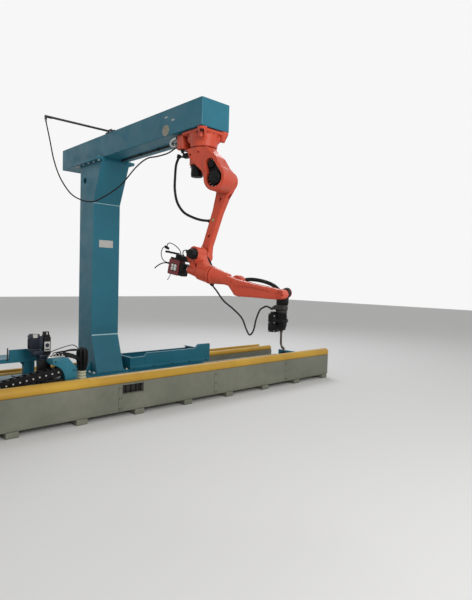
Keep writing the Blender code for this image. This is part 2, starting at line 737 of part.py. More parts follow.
def torch(axis):
    flange_low = -0.175
    body_low = -0.335
    keep(rod("tool_flange", (0, 0, flange_low), (0, 0, flange_low + 0.020), 0.045, 28), STEEL, axis)
    keep(rod("torch_body", (0, 0, body_low), (0, 0, flange_low - GAP), TORCH_RADIUS, 20), BLACK, axis)
    sensor = keep(block("seam_sensor", (-0.115, -0.045, -0.350), (-TORCH_RADIUS - GAP, 0.045, -0.180),
                        edge=0.006), BLACK, axis)
    strap = block("sensor_strap", (-0.06, -0.050, -0.26), (0.045, 0.050, -0.23))
    strap_hole = rod("strap_hole", (0, 0, -0.30), (0, 0, -0.20), TORCH_RADIUS + GAP, 20)
    fuse(sensor, strap)
    carve(sensor, strap_hole)
    neck_points = [(0, 0, body_low - GAP), (0, 0, -0.40), (0.001, 0, -0.445), (0.008, 0, -0.472),
                   (0.026, 0, -0.494), (0.042, 0, -0.505)]
    hose("torch_neck", neck_points, 0.011, COPPER, axis, spacing=0.012)


# Free cables and hoses


def boom_conduit():
    """The wire conduit that hangs from the boom's eye and sweeps up to the robot's base."""
    points = [(-0.848, -0.352, 3.238), (-0.82, -0.40, 3.02), (-0.795, -0.45, 2.805), (-0.755, -0.525, 2.61),
              (-0.695, -0.64, 2.445), (-0.635, -0.755, 2.37), (-0.575, -0.865, 2.343), (-0.52, -0.97, 2.368),
              (-0.41, -1.18, 2.495), (-0.32, -1.345, 2.68), (-0.263, -1.455, 2.76), (-0.21, -1.555, 2.775),
              (-0.155, -1.66, 2.80), (-0.115, -1.735, 2.845)]
    hose("boom_conduit", points, CONDUIT_RADIUS, BLACK)


def base_hose(axis):
    """The cable hose in a loop behind the turret, down to the lower arm."""
    points = [(-0.30, 0.0, -0.20), (-0.335, 0.0, -0.28), (-0.345, 0.0, -0.40), (-0.345, 0.0, -0.52),
              (-0.315, 0.005, -0.65), (-0.24, 0.015, -0.75), (-0.15, 0.03, -0.80), (-0.06, 0.042, -0.83),
              (0.0, 0.047, -0.835)]
    hose("base_hose", points, 0.014, BLACK, axis)


def forearm_hoses(axis):
    over = [(0.385, 0.112, 0.0), (0.44, 0.125, 0.028), (0.54, 0.126, 0.045), (0.65, 0.126, 0.045),
            (0.73, 0.126, 0.030), (0.79, 0.126, 0.0)]
    hose("forearm_hose", over, 0.014, BLACK, axis)
    under = [(0.135, 0.0, -0.092), (0.20, 0.0, -0.135), (0.30, 0.0, -0.21), (0.42, 0.0, -0.26),
             (0.53, 0.0, -0.32), (0.60, 0.0, -0.41), (0.645, 0.0, -0.45), (0.675, 0.0, -0.40),
             (0.68, 0.0, -0.29), (0.70, 0.0, -0.20), (0.735, 0.0, -0.165)]
    hose("umbilical", under, 0.008, BLACK, axis)


def build():
    for make in (track_frame, guide_rails, gear_rack, front_side, rear_side, rear_edge, chain_tray, end_stops,
                 carriage_deck, right_platform, left_platform, travel_drive, grease_pump, chain_bracket,
                 cable_chain, hose_loom, column, beam, boom, boom_conduit):
        make()
    seat = frame_at("robot_seat", (0.0, ROBOT_Y, BEAM_LOW))
    robot_base(seat)
    first_axis = frame_at("first_axis", (0.0, 0.0, 0.0), seat, (0.0, 0.0, ROBOT_TURN))
    turret(first_axis)
    base_hose(first_axis)
    second_axis = frame_at("second_axis", SHOULDER, first_axis)
    lower_arm(second_axis)
    third_axis = frame_at("third_axis", ELBOW - SHOULDER, second_axis, (0.0, FOREARM_PITCH, 0.0))
    elbow(third_axis)
    wire_feeder(third_axis)
    fourth_axis = frame_at("fourth_axis", (ELBOW_LEAD, 0.0, -ELBOW_DROP), third_axis)
    forearm(fourth_axis)
    forearm_hoses(fourth_axis)
    fifth_axis = frame_at("fifth_axis", (WRIST_REACH, 0.0, 0.0), fourth_axis, (0.0, -FOREARM_PITCH, 0.0))
    wrist(fifth_axis)
    sixth_axis = frame_at("sixth_axis", (0.0, 0.0, 0.0), fifth_axis)
    torch(sixth_axis)


build()
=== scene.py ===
"""Looks of the inverted welding robot arm, its travelling gantry and a section of floor track."""
import json
import math
import bpy
from mathutils import Matrix, Vector


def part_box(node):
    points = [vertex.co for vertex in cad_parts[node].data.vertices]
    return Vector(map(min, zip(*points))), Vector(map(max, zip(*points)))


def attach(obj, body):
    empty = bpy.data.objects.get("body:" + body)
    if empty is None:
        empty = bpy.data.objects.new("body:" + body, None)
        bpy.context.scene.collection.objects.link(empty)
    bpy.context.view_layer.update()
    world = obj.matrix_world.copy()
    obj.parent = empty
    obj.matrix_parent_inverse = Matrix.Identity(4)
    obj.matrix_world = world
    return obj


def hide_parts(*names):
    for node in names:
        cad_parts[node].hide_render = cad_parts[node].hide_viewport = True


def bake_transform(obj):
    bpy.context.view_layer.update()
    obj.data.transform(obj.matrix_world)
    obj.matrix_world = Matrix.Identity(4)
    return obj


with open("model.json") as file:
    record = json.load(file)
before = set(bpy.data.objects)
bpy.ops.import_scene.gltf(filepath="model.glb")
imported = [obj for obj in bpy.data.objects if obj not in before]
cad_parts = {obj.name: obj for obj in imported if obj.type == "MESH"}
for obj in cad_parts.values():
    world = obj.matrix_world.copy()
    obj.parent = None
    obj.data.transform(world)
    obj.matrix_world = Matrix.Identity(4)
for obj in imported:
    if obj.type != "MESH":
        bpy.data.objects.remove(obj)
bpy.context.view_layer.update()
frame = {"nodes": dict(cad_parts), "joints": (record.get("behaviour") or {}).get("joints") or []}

# Camera. It stands before the left end of the track at eye height and looks past the column,
# a little downwards, with the slight roll of a phone held by hand.
EYE = (-3.065, -5.758, 1.55)
TURN_FROM_Y = math.radians(43.618)
LOOK_DOWN = math.radians(2.283)
HAND_ROLL = math.radians(1.492)
FOCAL_LENGTH_PIXELS = 492.58
IMAGE_HEIGHT_PIXELS = 600
SENSOR_HEIGHT = 36.0

bpy.ops.object.select_all(action="DESELECT")
bpy.ops.object.camera_add(location=EYE)
camera = bpy.context.object
camera.name = "photo_camera"
camera.matrix_world = (Matrix.Translation(EYE)
                       @ Matrix.Rotation(-TURN_FROM_Y, 4, "Z")
                       @ Matrix.Rotation(math.radians(90) - LOOK_DOWN, 4, "X")
                       @ Matrix.Rotation(HAND_ROLL, 4, "Z"))
camera.data.sensor_width = SENSOR_HEIGHT
camera.data.lens = FOCAL_LENGTH_PIXELS * SENSOR_HEIGHT / IMAGE_HEIGHT_PIXELS
camera.data.clip_end = 200.0
bpy.context.scene.camera = camera
bpy.context.scene.view_settings.view_transform = "Standard"


# Floor and studio light. A pale matt floor that only takes the shadow, a white backdrop seen by the
# camera and in reflections, an even sky light, and two large soft lamps: the windows' daylight and a
# weaker, cooler one high behind the machine.
def add_node(tree, kind, inputs=None, **settings):
    made = tree.nodes.new(kind)
    for name, value in settings.items():
        setattr(made, name, value)
    for name, value in (inputs or {}).items():
        if isinstance(value, bpy.types.NodeSocket):
            tree.links.new(value, made.inputs[name])
        else:
            made.inputs[name].default_value = value
    return made


def backdrop_seen_white(world, ambient, shown):
    world.use_nodes = True
    tree = world.node_tree
    tree.nodes.clear()
    rays = add_node(tree, "ShaderNodeLightPath")
    seen = add_node(tree, "ShaderNodeMath",
                    {0: rays.outputs["Is Camera Ray"], 1: rays.outputs["Is Glossy Ray"]}, operation="MAXIMUM")
    seen = add_node(tree, "ShaderNodeMath", {0: seen.outputs[0], 1: rays.outputs["Is Transmission Ray"]},
                    operation="MAXIMUM")
    strength = add_node(tree, "ShaderNodeMix", {0: seen.outputs[0], 2: ambient, 3: shown}, data_type="FLOAT")
    sky = add_node(tree, "ShaderNodeBackground",
                   {"Color": (1.0, 1.0, 1.0, 1.0), "Strength": strength.outputs[0]})
    add_node(tree, "ShaderNodeOutputWorld", {"Surface": sky.outputs[0]})


def soft_lamp(name, place, aim, size, power, colour=(1.0, 1.0, 1.0)):
    bpy.ops.object.light_add(type="AREA", location=place)
    lamp = bpy.context.object
    lamp.name = name
    lamp.rotation_euler = (Vector(aim) - Vector(place)).to_track_quat("-Z", "Y").to_euler()
    lamp.data.shape = "DISK"
    lamp.data.size = size
    lamp.data.energy = power
    lamp.data.color = colour


studio = bpy.context.scene.world or bpy.data.worlds.new("studio")
bpy.context.scene.world = studio
backdrop_seen_white(studio, ambient=0.43, shown=0.93)
soft_lamp("window_light", (-0.8, -9.0, 4.6), (0.0, -1.0, 1.4), 4.5, 320.0, (1.0, 0.99, 0.97))
soft_lamp("sky_light", (5.5, 3.5, 7.0), (0.5, -0.6, 1.0), 4.0, 200.0, (0.96, 0.98, 1.0))

bpy.ops.mesh.primitive_plane_add(size=60.0, location=(0.0, 0.0, -0.001))
floor = bpy.context.object
floor.name = "studio_floor"
floor_paint = bpy.data.materials.new("pale_floor")
floor_paint.use_nodes = True
floor_shader = floor_paint.node_tree.nodes["Principled BSDF"]
floor_shader.inputs["Base Color"].default_value = (0.8, 0.8, 0.79, 1.0)
floor_shader.inputs["Roughness"].default_value = 0.85
floor.data.materials.append(floor_paint)


# Cables and hoses. Black jackets of rubber and ribbed nylon: the thin wire conduit hangs from the
# boom and sweeps up to the robot, the thick hose loops down from the base to the lower arm, one
# hose arches over the forearm, and the thin umbilical sags under it to the wrist.
def smooth_route(points, spacing):
    """Evenly spaced points on a smooth curve through the route's own points."""
    knots = [Vector(point) for point in points]
    knots = [knots[0] * 2 - knots[1]] + knots + [knots[-1] * 2 - knots[-2]]
    steps = 24
    fine = []
    for i in range(1, len(knots) - 2):
        a, b, c, d = knots[i - 1:i + 3]
        for step in range(steps):
            t = step / steps
            fine.append(0.5 * (2 * b + (c - a) * t + (2 * a - 5 * b + 4 * c - d) * t ** 2
                               + (3 * b - a - 3 * c + d) * t ** 3))
    fine.append(knots[-2])
    lengths = [0.0]
    for before, after in zip(fine, fine[1:]):
        lengths.append(lengths[-1] + (after - before).length)
    count = max(4, round(lengths[-1] / spacing))
    route = []
    reach = 0
    for step in range(count + 1):
        want = lengths[-1] * step / count
        while reach < len(fine) - 2 and lengths[reach + 1] < want:
            reach += 1
        share = (want - lengths[reach]) / (lengths[reach + 1] - lengths[reach])
        route.append(fine[reach].lerp(fine[reach + 1], share))
    return route


def jacket(name, route, radius, ribbed=False, sides=6, swell=None):
    """A mesh tube along a route. A ribbed one narrows at every second point, and swell gives its radius."""
    curve = bpy.data.curves.new(name, "CURVE")
    curve.dimensions = "3D"
    curve.bevel_depth = radius
    curve.bevel_resolution = sides // 2
    curve.use_fill_caps = True
    spline = curve.splines.new("POLY")
    spline.points.add(len(route) - 1)
    valley = 0.84
    for number, (point, place) in enumerate(zip(spline.points, route)):
        point.co = (*place, 1.0)
        point.radius = valley if ribbed and number % 2 else 1.0
        if swell:
            point.radius *= swell(number / (len(route) - 1))
    obj = bpy.data.objects.new(name, curve)
    bpy.context.collection.objects.link(obj)
    bpy.ops.object.select_all(action="DESELECT")
    obj.select_set(True)
    bpy.context.view_layer.objects.active = obj
    bpy.ops.object.convert(target="MESH")
    obj = bpy.context.object
    bpy.ops.object.mode_set(mode="EDIT")
    bpy.ops.mesh.select_all(action="SELECT")
    bpy.ops.mesh.remove_doubles(threshold=0.00002)
    bpy.ops.mesh.normals_make_consistent(inside=False)
    bpy.ops.object.mode_set(mode="OBJECT")
    bpy.ops.object.shade_smooth_by_angle(angle=math.radians(50))
    return obj


def painted(name, colour):
    """A new material: its tree, its shader and the object coordinates that patterns read."""
    material = bpy.data.materials.new(name)
    material.use_nodes = True
    tree = material.node_tree
    shader = tree.nodes["Principled BSDF"]
    shader.inputs["Base Color"].default_value = (*colour, 1.0)
    where = add_node(tree, "ShaderNodeTexCoord")
    return material, tree, shader, where


def mix_colours(tree, share, first, second, blend_type="MIX"):
    """The colour output of a mix between two colours or sockets."""
    def rgba(value):
        return value if isinstance(value, bpy.types.NodeSocket) else (*value, 1.0)
    mixed = add_node(tree, "ShaderNodeMix", {0: share, 6: rgba(first), 7: rgba(second)},
                     data_type="RGBA", blend_type=blend_type)
    return mixed.outputs[2]


def speckle(tree, where, scale, low, high, detail=4.0, stretch=(1.0, 1.0, 1.0), roughness=0.55):
    """Cloudy noise cut to a 0 to 1 mask between two levels."""
    placed = add_node(tree, "ShaderNodeMapping", {"Vector": where.outputs["Object"], "Scale": stretch})
    noise = add_node(tree, "ShaderNodeTexNoise", {"Vector": placed.outputs[0], "Scale": scale,
                                                  "Detail": detail, "Roughness": roughness})
    mask = add_node(tree, "ShaderNodeMapRange", {"Value": noise.outputs["Fac"], "From Min": low,
                                                 "From Max": high})
    return mask.outputs[0]


def span(tree, mask, low, high):
    return add_node(tree, "ShaderNodeMapRange", {"Value": mask, "To Min": low, "To Max": high}).outputs[0]


def bump(tree, shader, height, distance, strength=1.0):
    made = add_node(tree, "ShaderNodeBump", {"Height": height, "Distance": distance, "Strength": strength})
    tree.links.new(made.outputs[0], shader.inputs["Normal"])


def black_rubber(name, colour=(0.008, 0.008, 0.009), shine=0.48):
    """Black cable jacket: dusty on top, rubbed a little shinier in places."""
    material, tree, shader, where = painted(name, colour)
    rubbed = speckle(tree, where, 9.0, 0.4, 0.62)
    dust = speckle(tree, where, 38.0, 0.46, 0.74, detail=6.0)
    dusty = mix_colours(tree, span(tree, dust, 0.0, 0.25), colour, (0.085, 0.08, 0.072))
    shader.inputs["Specular IOR Level"].default_value = 0.14
    tree.links.new(mix_colours(tree, span(tree, rubbed, 0.0, 0.6), dusty, colour),
                   shader.inputs["Base Color"])
    tree.links.new(span(tree, rubbed, shine + 0.14, shine - 0.08), shader.inputs["Roughness"])
    bump(tree, shader, speckle(tree, where, 420.0, 0.3, 0.7), 0.0004, 0.35)
    return material


def declare_cord(cord, material, node):
    """Give a cord its jacket and hide the solid that it stands for."""
    cord.data.materials.append(material)
    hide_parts(node)


joint_at = {joint["name"]: Vector(joint["pos_m"]) for joint in frame["joints"] if "pos_m" in joint}
joint_axis = {joint["name"]: Vector(joint["axis"]) for joint in frame["joints"]}
ROBOT_TURN = -math.atan2(joint_axis["axis_2"].x, joint_axis["axis_2"].y)
FOREARM_PITCH = math.asin(-joint_axis["axis_4"].z)
ROBOT_FACING = Matrix.Rotation(ROBOT_TURN, 4, "Z")
TURRET_FRAME = Matrix.Translation(joint_at["axis_1"]) @ ROBOT_FACING
SHOULDER_FRAME = Matrix.Translation(joint_at["axis_2"]) @ ROBOT_FACING
ELBOW_FRAME = Matrix.Translation(joint_at["axis_3"]) @ ROBOT_FACING @ Matrix.Rotation(FOREARM_PITCH, 4, "Y")
FOREARM_FRAME = Matrix.Translation(joint_at["axis_4"]) @ ROBOT_FACING @ Matrix.Rotation(FOREARM_PITCH, 4, "Y")
WRIST_FRAME = Matrix.Translation(joint_at["axis_5"]) @ ROBOT_FACING

conduit_jacket = black_rubber("conduit_jacket", shine=0.42)
hose_jacket = black_rubber("hose_jacket", (0.012, 0.012, 0.013))
umbilical_jacket = black_rubber("umbilical_jacket", (0.017, 0.017, 0.02), 0.4)

CONDUIT_RADIUS = 0.007
conduit_points = [(-0.848, -0.352, 3.238), (-0.82, -0.4, 3.02), (-0.795, -0.45, 2.805),
                  (-0.755, -0.525, 2.61), (-0.695, -0.64, 2.445), (-0.635, -0.755, 2.37),
                  (-0.575, -0.865, 2.343), (-0.52, -0.97, 2.368), (-0.41, -1.18, 2.495),
                  (-0.32, -1.345, 2.68), (-0.263, -1.455, 2.76), (-0.21, -1.555, 2.775),
                  (-0.155, -1.66, 2.8), (-0.115, -1.735, 2.845)]
conduit_route = smooth_route(conduit_points, 0.012)
wire_conduit = jacket("wire_conduit", conduit_route, CONDUIT_RADIUS)
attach(wire_conduit, "carriage")
declare_cord(wire_conduit, conduit_jacket, "boom_conduit")

HOSE_RADIUS = 0.014
RIB_PITCH = 0.0046
base_hose_points = [(-0.3, 0.0, -0.2), (-0.335, 0.0, -0.28), (-0.345, 0.0, -0.4), (-0.345, 0.0, -0.52),
                    (-0.315, 0.005, -0.65), (-0.24, 0.015, -0.75), (-0.15, 0.035, -0.8),
                    (-0.07, 0.07, -0.828), (0.012, 0.108, -0.838)]
base_hose_route = smooth_route([TURRET_FRAME @ Vector(point) for point in base_hose_points], RIB_PITCH)
base_loop_hose = jacket("base_loop_hose", base_hose_route, HOSE_RADIUS, ribbed=True)
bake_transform(base_loop_hose)
declare_cord(base_loop_hose, hose_jacket, "base_hose")

ARCH_RADIUS = 0.019
over_points = [(0.385, 0.112, 0.0), (0.44, 0.125, 0.028), (0.54, 0.126, 0.045), (0.65, 0.126, 0.045),
               (0.73, 0.126, 0.03), (0.79, 0.126, 0.0)]
over_route = smooth_route([FOREARM_FRAME @ Vector(point) for point in over_points], RIB_PITCH)
forearm_arch_hose = jacket("forearm_arch_hose", over_route, ARCH_RADIUS, ribbed=True)
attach(forearm_arch_hose, "forearm")
declare_cord(forearm_arch_hose, hose_jacket, "forearm_hose")

UMBILICAL_RADIUS = 0.008
under_points = [(0.135, 0.0, -0.092), (0.2, 0.0, -0.135), (0.3, 0.0, -0.21), (0.42, 0.0, -0.26),
                (0.53, 0.0, -0.32), (0.6, 0.0, -0.41), (0.645, 0.0, -0.45), (0.675, 0.0, -0.4),
                (0.68, 0.0, -0.29), (0.7, 0.0, -0.2), (0.735, 0.0, -0.165)]
under_route = smooth_route([FOREARM_FRAME @ Vector(point) for point in under_points], 0.012)
sagging_umbilical = jacket("sagging_umbilical", under_route, UMBILICAL_RADIUS)
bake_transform(sagging_umbilical)
declare_cord(sagging_umbilical, umbilical_jacket, "umbilical")


# Track frame. Two box sills on flat ties, all one weldment in grey-cream enamel, held to the floor by
# a pair of anchor studs at each side of every tie and dusty from grinding near the ground.
def dress(node, material):
    """Give a CAD node that keeps its shape its finish."""
    obj = frame["nodes"][node]
    obj.data.materials.clear()
    obj.data.materials.append(material)


def enamel(name, colour, shade, dust_colour, dust=0.35, wear=0.25, shine=0.4, peel=0.12):
    """Machine enamel: uneven tone, dust on what faces up, painted shade in corners, chips and rub marks."""
    material, tree, shader, where = painted(name, colour)
    tone = speckle(tree, where, 1.7, 0.32, 0.68, detail=5.0)
    base = mix_colours(tree, tone, shade, colour)
    facing = add_node(tree, "ShaderNodeSeparateXYZ", {0: where.outputs["Normal"]})
    upward = add_node(tree, "ShaderNodeMapRange", {"Value": facing.outputs["Z"], "From Min": 0.35,
                                                   "From Max": 1.0}).outputs[0]
    cloud = speckle(tree, where, 14.0, 0.3, 0.72, detail=8.0, roughness=0.65)
    resting = add_node(tree, "ShaderNodeMath", {0: upward, 1: cloud}, operation="MULTIPLY").outputs[0]
    haze = add_node(tree, "ShaderNodeMath", {0: cloud, 1: 0.22}, operation="MULTIPLY").outputs[0]
    settled = add_node(tree, "ShaderNodeMath", {0: resting, 1: haze}, operation="MAXIMUM").outputs[0]
    base = mix_colours(tree, span(tree, settled, 0.0, dust), base, dust_colour)
    # Painted shade: where the ambient occlusion probe meets nearby surfaces, the colour darkens towards a
    # third of itself.
    corners = add_node(tree, "ShaderNodeAmbientOcclusion", {"Distance": 0.06}, samples=6)
    occlusion_shade = add_node(tree, "ShaderNodeMapRange", {"Value": corners.outputs["AO"], "From Min": 0.25,
                                                  "From Max": 0.85, "To Min": 0.55, "To Max": 0.0}).outputs[0]
    base = mix_colours(tree, occlusion_shade, base, tuple(part * 0.35 for part in colour))
    chips = speckle(tree, where, 55.0, 0.7, 0.73, detail=3.0)
    patches = speckle(tree, where, 4.0, 0.5, 0.62)
    chipped = add_node(tree, "ShaderNodeMath", {0: chips, 1: patches}, operation="MULTIPLY").outputs[0]
    chipped = span(tree, chipped, 0.0, wear)
    base = mix_colours(tree, chipped, base, (0.06, 0.052, 0.045))
    tree.links.new(base, shader.inputs["Base Color"])
    shader.inputs["Specular IOR Level"].default_value = 0.36
    rubbed = speckle(tree, where, 6.0, 0.35, 0.7, detail=6.0, stretch=(0.4, 1.0, 1.0))
    tree.links.new(span(tree, rubbed, shine - 0.07, shine + 0.16), shader.inputs["Roughness"])
    bump(tree, shader, speckle(tree, where, 190.0, 0.25, 0.75, detail=2.0), 0.0006, peel)
    return material


def bead(points, radius=0.004, pitch=0.006):
    """A weld bead, rippled as it was laid."""
    return jacket("bead", smooth_route(points, pitch), radius, ribbed=True)


def hand_in(piece, name, body, slot, material, *nodes):
    """Name a finished piece, and say its body, finish and the solids that it stands for."""
    piece.name = name
    piece.data.materials.clear()
    piece.data.materials.append(material)
    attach(piece, body)
    if nodes:
        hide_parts(*nodes)
    return piece


def only(obj):
    """Make one object the selected and active one."""
    bpy.ops.object.select_all(action="DESELECT")
    obj.select_set(True)
    bpy.context.view_layer.objects.active = obj


def join(pieces):
    """Join several meshes into the first one."""
    only(pieces[0])
    for piece in pieces[1:]:
        piece.select_set(True)
    if len(pieces) > 1:
        bpy.ops.object.join()
    return bpy.context.object


def set_copies(master, places, facing):
    """Copies of one piece at several places, each with its own mesh, turned to face one way."""
    turn = Vector(facing).normalized().to_track_quat("Z", "Y").to_matrix().to_4x4()
    copies = []
    for spot in places:
        twin = master.copy()
        twin.data = master.data.copy()
        bpy.context.collection.objects.link(twin)
        twin.data.transform(Matrix.Translation(spot) @ turn)
        copies.append(twin)
    bpy.data.objects.remove(master, do_unlink=True)
    return join(copies)


CREASE = math.radians(38)


def ease(obj, width, segments=2):
    """Round the sharp edges, as a deburred or cast edge is."""
    only(obj)
    rounding = obj.modifiers.new("eased_edges", "BEVEL")
    rounding.width = width
    rounding.segments = segments
    rounding.limit_method = "ANGLE"
    rounding.angle_limit = math.radians(40)
    bpy.ops.object.modifier_apply(modifier="eased_edges")
    bpy.ops.object.shade_smooth_by_angle(angle=CREASE)
    return obj


def round_bar(start, end, radius, end_radius=None, sides=32, edge=0.0):
    """A turned bar or cone from one point to another."""
    start = Vector(start)
    run = Vector(end) - start
    bpy.ops.mesh.primitive_cone_add(vertices=sides, radius1=radius, depth=run.length,
                                    location=start + run / 2,
                                    radius2=radius if end_radius is None else end_radius,
                                    rotation=run.to_track_quat("Z", "Y").to_euler())
    bpy.ops.object.transform_apply(location=True, rotation=True, scale=True)
    made = bpy.context.object
    if edge:
        return ease(made, edge)
    bpy.ops.object.shade_smooth_by_angle(angle=CREASE)
    return made


def turned(along, centre, start, end, *sizes, **shape):
    """A round bar along one axis: along X at (y, z), along Y at (x, z) or along Z at (x, y)."""
    ends = [list(centre), list(centre)]
    for spot, level in zip(ends, (start, end)):
        spot.insert("XYZ".index(along), level)
    return round_bar(*ends, *sizes, **shape)


def hex_bolt(radius):
    """A hexagon head on its round washer, with the stud's end above it."""
    washer = turned("Z", (0.0, 0.0), 0.0, radius * 0.22, radius * 1.35, sides=16)
    head = turned("Z", (0.0, 0.0), radius * 0.2, radius * 0.95, radius, sides=6, edge=radius * 0.1)
    stud = turned("Z", (0.0, 0.0), radius * 0.9, radius * 1.25, radius * 0.5, radius * 0.42, sides=10)
    return join([washer, head, stud])


def bare_metal(name, colour, roughness, streak=(1.0, 1.0, 1.0)):
    """Machined steel with drawn streaks, stains and an oily film."""
    material, tree, shader, where = painted(name, colour)
    shader.inputs["Metallic"].default_value = 1.0
    stains = speckle(tree, where, 11.0, 0.42, 0.66, detail=6.0)
    tree.links.new(mix_colours(tree, span(tree, stains, 0.0, 0.7), colour,
                               tuple(part * 0.45 for part in colour)), shader.inputs["Base Color"])
    drawn = speckle(tree, where, 130.0, 0.3, 0.7, detail=2.0, stretch=streak)
    tree.links.new(span(tree, drawn, roughness - 0.1, roughness + 0.14), shader.inputs["Roughness"])
    bump(tree, shader, drawn, 0.0003, 0.25)
    return material


cream_enamel = enamel("cream_enamel", (0.205, 0.212, 0.165), (0.14, 0.147, 0.112), (0.34, 0.32, 0.26),
                      dust=0.55, wear=0.5, shine=0.55)
zinc = bare_metal("zinc_plate", (0.62, 0.62, 0.6), 0.36)
UP = (0.0, 0.0, 1.0)
DOWN = (0.0, 0.0, -1.0)
FRONT = (0.0, -1.0, 0.0)
TIE_TOP = 0.06
SILL_SIDES = (-0.67, -0.53, 0.03, 0.17)
tie_places = [0.7 * number for number in range(-3, 6)]
dress("track_frame", cream_enamel)
frame_beads = []
for x in tie_places:
    for side in SILL_SIDES:
        frame_beads.append(bead([(x - 0.058, side, TIE_TOP), (x + 0.058, side, TIE_TOP)], 0.005))
hand_in(join(frame_beads), "frame_weld_beads", "track", "cream_paint", cream_enamel)
anchor_places = [Vector((x + side, y, TIE_TOP)) for x in tie_places for y in (-0.3, 0.475)
                 for side in (-0.034, 0.034)]
hand_in(set_copies(hex_bolt(0.012), anchor_places, UP), "anchor_studs", "track", "machined_steel", zinc)


# Guide rails and rack. Ground steel rails screwed down every 120 mm, each hole shut with a flush
# cap, and a straight-toothed rack on the front sill that the drive's pinion climbs along.
def bar(low, high, edge=0.0, segments=2):
    """A squared block between two corners."""
    low = Vector(low)
    high = Vector(high)
    bpy.ops.mesh.primitive_cube_add(size=1.0, location=(low + high) / 2, scale=high - low)
    bpy.ops.object.transform_apply(location=True, rotation=True, scale=True)
    return ease(bpy.context.object, edge, segments) if edge else bpy.context.object


def moulding(name, colour=(0.006, 0.006, 0.007), roughness=0.46):
    """Moulded plastic with a fine grain and a little dust."""
    material, tree, shader, where = painted(name, colour)
    dust = speckle(tree, where, 26.0, 0.46, 0.78, detail=7.0)
    tree.links.new(mix_colours(tree, span(tree, dust, 0.0, 0.16), colour, (0.1, 0.095, 0.085)),
                   shader.inputs["Base Color"])
    shader.inputs["Specular IOR Level"].default_value = 0.14
    tree.links.new(span(tree, dust, roughness - 0.05, roughness + 0.2), shader.inputs["Roughness"])
    bump(tree, shader, speckle(tree, where, 600.0, 0.3, 0.7, detail=1.0), 0.0003, 0.3)
    return material


ground_steel = bare_metal("ground_steel", (0.5, 0.49, 0.47), 0.34, (0.02, 1.0, 1.0))
brown_plastic = moulding("brown_plastic", (0.06, 0.04, 0.022))
for name in ("front_guide_rail", "rear_guide_rail"):
    dress(name, ground_steel)
RAIL_LINES = (-0.6, 0.1)
cap_places = [Vector((-2.28 + 0.12 * number, y, 0.2558)) for number in range(49) for y in RAIL_LINES]
rail_cap = turned("Z", (0.0, 0.0), 0.0, 0.001, 0.0065, sides=14)
hand_in(set_copies(rail_cap, cap_places, UP), "rail_hole_caps", "track", "black_plastic",
        brown_plastic)
rack_low, rack_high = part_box("gear_rack")
TOOTH_PITCH = 0.01257
tooth_root = rack_high.y - 0.01
tooth = bar((rack_low.x, tooth_root - 0.001, rack_low.z), (rack_low.x + 0.0085, rack_high.y, rack_high.z))
for vertex in tooth.data.vertices:
    if vertex.co.y > tooth_root:
        vertex.co.x += 0.0022 if vertex.co.x < rack_low.x + 0.004 else -0.0022
only(tooth)
row = tooth.modifiers.new("row", "ARRAY")
row.use_relative_offset = False
row.use_constant_offset = True
row.constant_offset_displace = (TOOTH_PITCH, 0.0, 0.0)
row.count = int((rack_high.x - rack_low.x - 0.009) / TOOTH_PITCH)
bpy.ops.object.modifier_apply(modifier="row")
rack_bar = bar(rack_low, (rack_high.x, tooth_root, rack_high.z), 0.001, 1)
hand_in(join([rack_bar, tooth]), "toothed_rack", "track", "machined_steel", ground_steel, "gear_rack")


# Side beams and guard tubes. Cream sheet-clad beams with cover strips over the panel joints and a
# cable window, each carrying a thick yellow tube that is butt welded every two metres.
def sink(obj, rim, depth, facing=(0.0, 0.0, 1.0)):
    """Inset the faces that look one way and push them in, as a socket or a dish."""
    only(obj)
    for face in obj.data.polygons:
        face.select = face.normal.dot(Vector(facing)) > 0.95 and len(face.vertices) > 4
    bpy.ops.object.mode_set(mode="EDIT")
    bpy.ops.mesh.select_mode(type="FACE")
    bpy.ops.mesh.inset(thickness=rim)
    bpy.ops.mesh.extrude_region_move(TRANSFORM_OT_translate={"value": Vector(facing) * -depth})
    bpy.ops.object.mode_set(mode="OBJECT")
    return obj


def socket_screw(radius):
    """A cap screw's head, standing on the origin with its socket up."""
    head = turned("Z", (0.0, 0.0), 0.0, radius * 0.95, radius, radius * 0.93, sides=12)
    return sink(head, radius * 0.42, radius * 0.55)


def wire_ring(centre, turn, radius, thickness, sides, round_sides=8):
    """A smooth ring of wire or weld metal, turned about X, Y and Z from lying flat."""
    bpy.ops.mesh.primitive_torus_add(location=centre, rotation=turn, major_radius=radius,
                                     minor_radius=thickness, major_segments=sides, minor_segments=round_sides)
    bpy.ops.object.transform_apply(location=True, rotation=True, scale=True)
    bpy.ops.object.shade_smooth()
    return bpy.context.object


QUARTER_TURN = math.radians(90)
DUST = (0.33, 0.315, 0.27)
black_enamel = enamel("black_enamel", (0.016, 0.015, 0.015), (0.011, 0.01, 0.01), DUST, dust=0.12)
yellow_enamel = enamel("yellow_enamel", (0.62, 0.36, 0.036), (0.47, 0.255, 0.024), (0.36, 0.29, 0.15),
                       dust=0.28, wear=0.85, shine=0.42)
for name in ("front_side_beam", "rear_side_beam"):
    dress(name, cream_enamel)
BEAM_FACE = -0.985
strips = []
strip_screws = []
for x in (-1.645, -0.245, 1.155, 2.555):
    strips.append(bar((x - 0.022, BEAM_FACE - 0.003, 0.075), (x + 0.022, BEAM_FACE + 0.002, 0.352), 0.001, 1))
    strip_screws += [Vector((x + side, BEAM_FACE - 0.003, z)) for side in (-0.013, 0.013)
                     for z in (0.1, 0.21, 0.32)]
strips.append(bar((-2.39, BEAM_FACE - 0.003, 0.066), (3.59, BEAM_FACE + 0.002, 0.082), 0.001, 1))
hand_in(join(strips), "beam_cover_strips", "track", "cream_paint", cream_enamel)
hand_in(set_copies(socket_screw(0.005), strip_screws, FRONT), "beam_strip_screws", "track", "black_steel",
        black_enamel)
